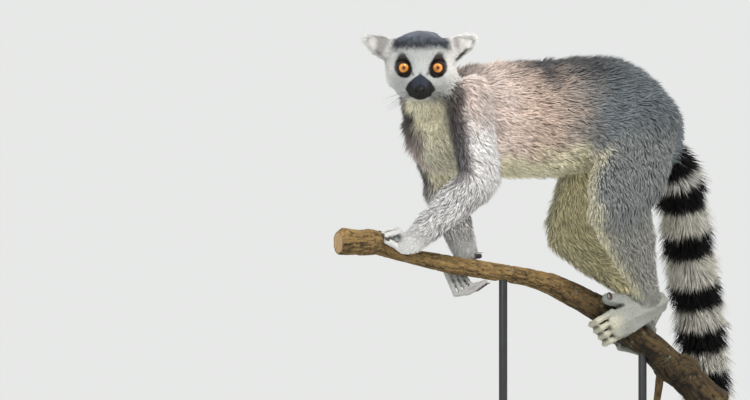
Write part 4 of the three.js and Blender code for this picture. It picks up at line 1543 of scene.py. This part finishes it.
def add_base():
    """The board, with rounded corners and a softened edge above and below."""
    low, high = (np.array(v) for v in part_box("stand_base"))
    straight = (high - low)[:2] / 2 - BASE_CORNER
    centre = (low + high)[:2] / 2
    outline = []
    for k, corner in enumerate(((1, 1), (-1, 1), (-1, -1), (1, -1))):
        for a in np.linspace(k, k + 1, 16) * math.pi / 2:
            outline.append([*(straight * corner), math.cos(a), math.sin(a)])
    outline = np.array(outline)
    rings = []
    for a in np.linspace(math.pi / 2, -math.pi / 2, 11):
        level = (low[2] + BASE_BEVEL) if a < 0 else (high[2] - BASE_BEVEL)
        reach = BASE_CORNER - BASE_BEVEL + BASE_BEVEL * math.cos(a)
        flat = centre + outline[:, :2] + outline[:, 2:] * reach
        rings.append(np.column_stack([flat, np.full(len(flat), level + BASE_BEVEL * math.sin(a))]))
    points = np.concatenate([*rings, [[*centre, high[2]], [*centre, low[2]]]])
    faces = ball_faces(len(rings), len(outline))
    add_piece("stand_board", points, faces, board_material(), "stand_board", "stand_base")


def add_stand():
    add_base()
    for place in ("front", "rear"):
        low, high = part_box("stand_collar_" + place)
        x, y = (low.x + high.x) / 2, (low.y + high.y) / 2
        profile = rounded_rim((high.x - low.x) / 2, low.z, high.z, 2 * MM)
        turned("collar_" + place, x, y, profile, "stand_collar_" + place)
        low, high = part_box("stand_rod_" + place)
        profile = rounded_rim((high.y - low.y) / 2, low.z, high.z, 1 * MM)
        turned("rod_" + place, x, y, profile, "stand_rod_" + place)


metal = metal_material()
add_stand()

# ---- floor, background and lights ----

BACKDROP = (0.80, 0.81, 0.80)


def add_floor():
    """A wide pale floor. Far from the stand it turns into the plain background for the camera."""
    g = Finish("floor", 0.8, Specular_IOR_Level=0.2)
    pale = g.blend(g.noise(30, 4), (0.74, 0.745, 0.735), (0.8, 0.8, 0.79))
    g.done(pale, g.noise(220, 3), 0.0002)
    where = g.node("NewGeometry").outputs["Position"]
    away = g.node("VectorMath", operation="LENGTH", Vector=where).outputs["Value"]
    far = g.node("MapRange", Value=away, From_Min=1.2, From_Max=3.2).outputs[0]
    camera = g.node("LightPath").outputs["Is Camera Ray"]
    seen = g.node("Math", far, camera, operation="MULTIPLY").outputs[0]
    glow = g.node("Emission", Color=(*BACKDROP, 1), Strength=1.0).outputs[0]
    mixed = g.node("MixShader", seen, g.shader.outputs[0], glow).outputs[0]
    g.set(g.tree.nodes["Material Output"], Surface=mixed)
    points = np.array([[-1, -1, 0], [1, -1, 0], [1, 1, 0], [-1, 1, 0]]) * 60.0
    new_object("floor", points, np.array([[0, 1, 2, 3]]), g.owner)


def add_world():
    """Even daylight, with the plain background where the camera or a gloss sees it."""
    g = Graph(bpy.data.worlds.new("studio"))
    light = g.set(g.tree.nodes["Background"], Color=(0.95, 0.98, 1.0, 1), Strength=0.72)
    plain = g.node("Background", Color=(*BACKDROP, 1), Strength=1.0)
    path = g.node("LightPath").outputs
    seen = g.node("Math", path["Is Camera Ray"], path["Is Glossy Ray"], operation="MAXIMUM")
    mixed = g.node("MixShader", seen.outputs[0], light.outputs[0], plain.outputs[0])
    g.set(g.tree.nodes["World Output"], Surface=mixed.outputs[0])
    bpy.context.scene.world = g.owner


def add_lamp(name, place, target, size, power, colour):
    data = bpy.data.lights.new(name, "AREA")
    data.shape = "DISK"
    data.size = size
    data.energy = power
    data.color = colour
    lamp = bpy.data.objects.new(name, data)
    lamp.location = place
    lamp.rotation_mode = "QUATERNION"
    lamp.rotation_quaternion = (Vector(target) - Vector(place)).to_track_quat("-Z", "Y")
    bpy.context.scene.collection.objects.link(lamp)


add_floor()
add_world()
AIM = (0, 0, 0.45)
add_lamp("key", (0.2, -2.0, 2.6), AIM, 1.2, 78, (1.0, 0.97, 0.93))
add_lamp("fill", (-2.6, -1.6, 1.0), AIM, 1.6, 30, (0.97, 0.98, 1.0))
add_lamp("rim", (1.6, 2.0, 2.2), AIM, 1.2, 36, (1.0, 0.98, 0.95))
scene = bpy.context.scene
scene.view_settings.view_transform = "Standard"
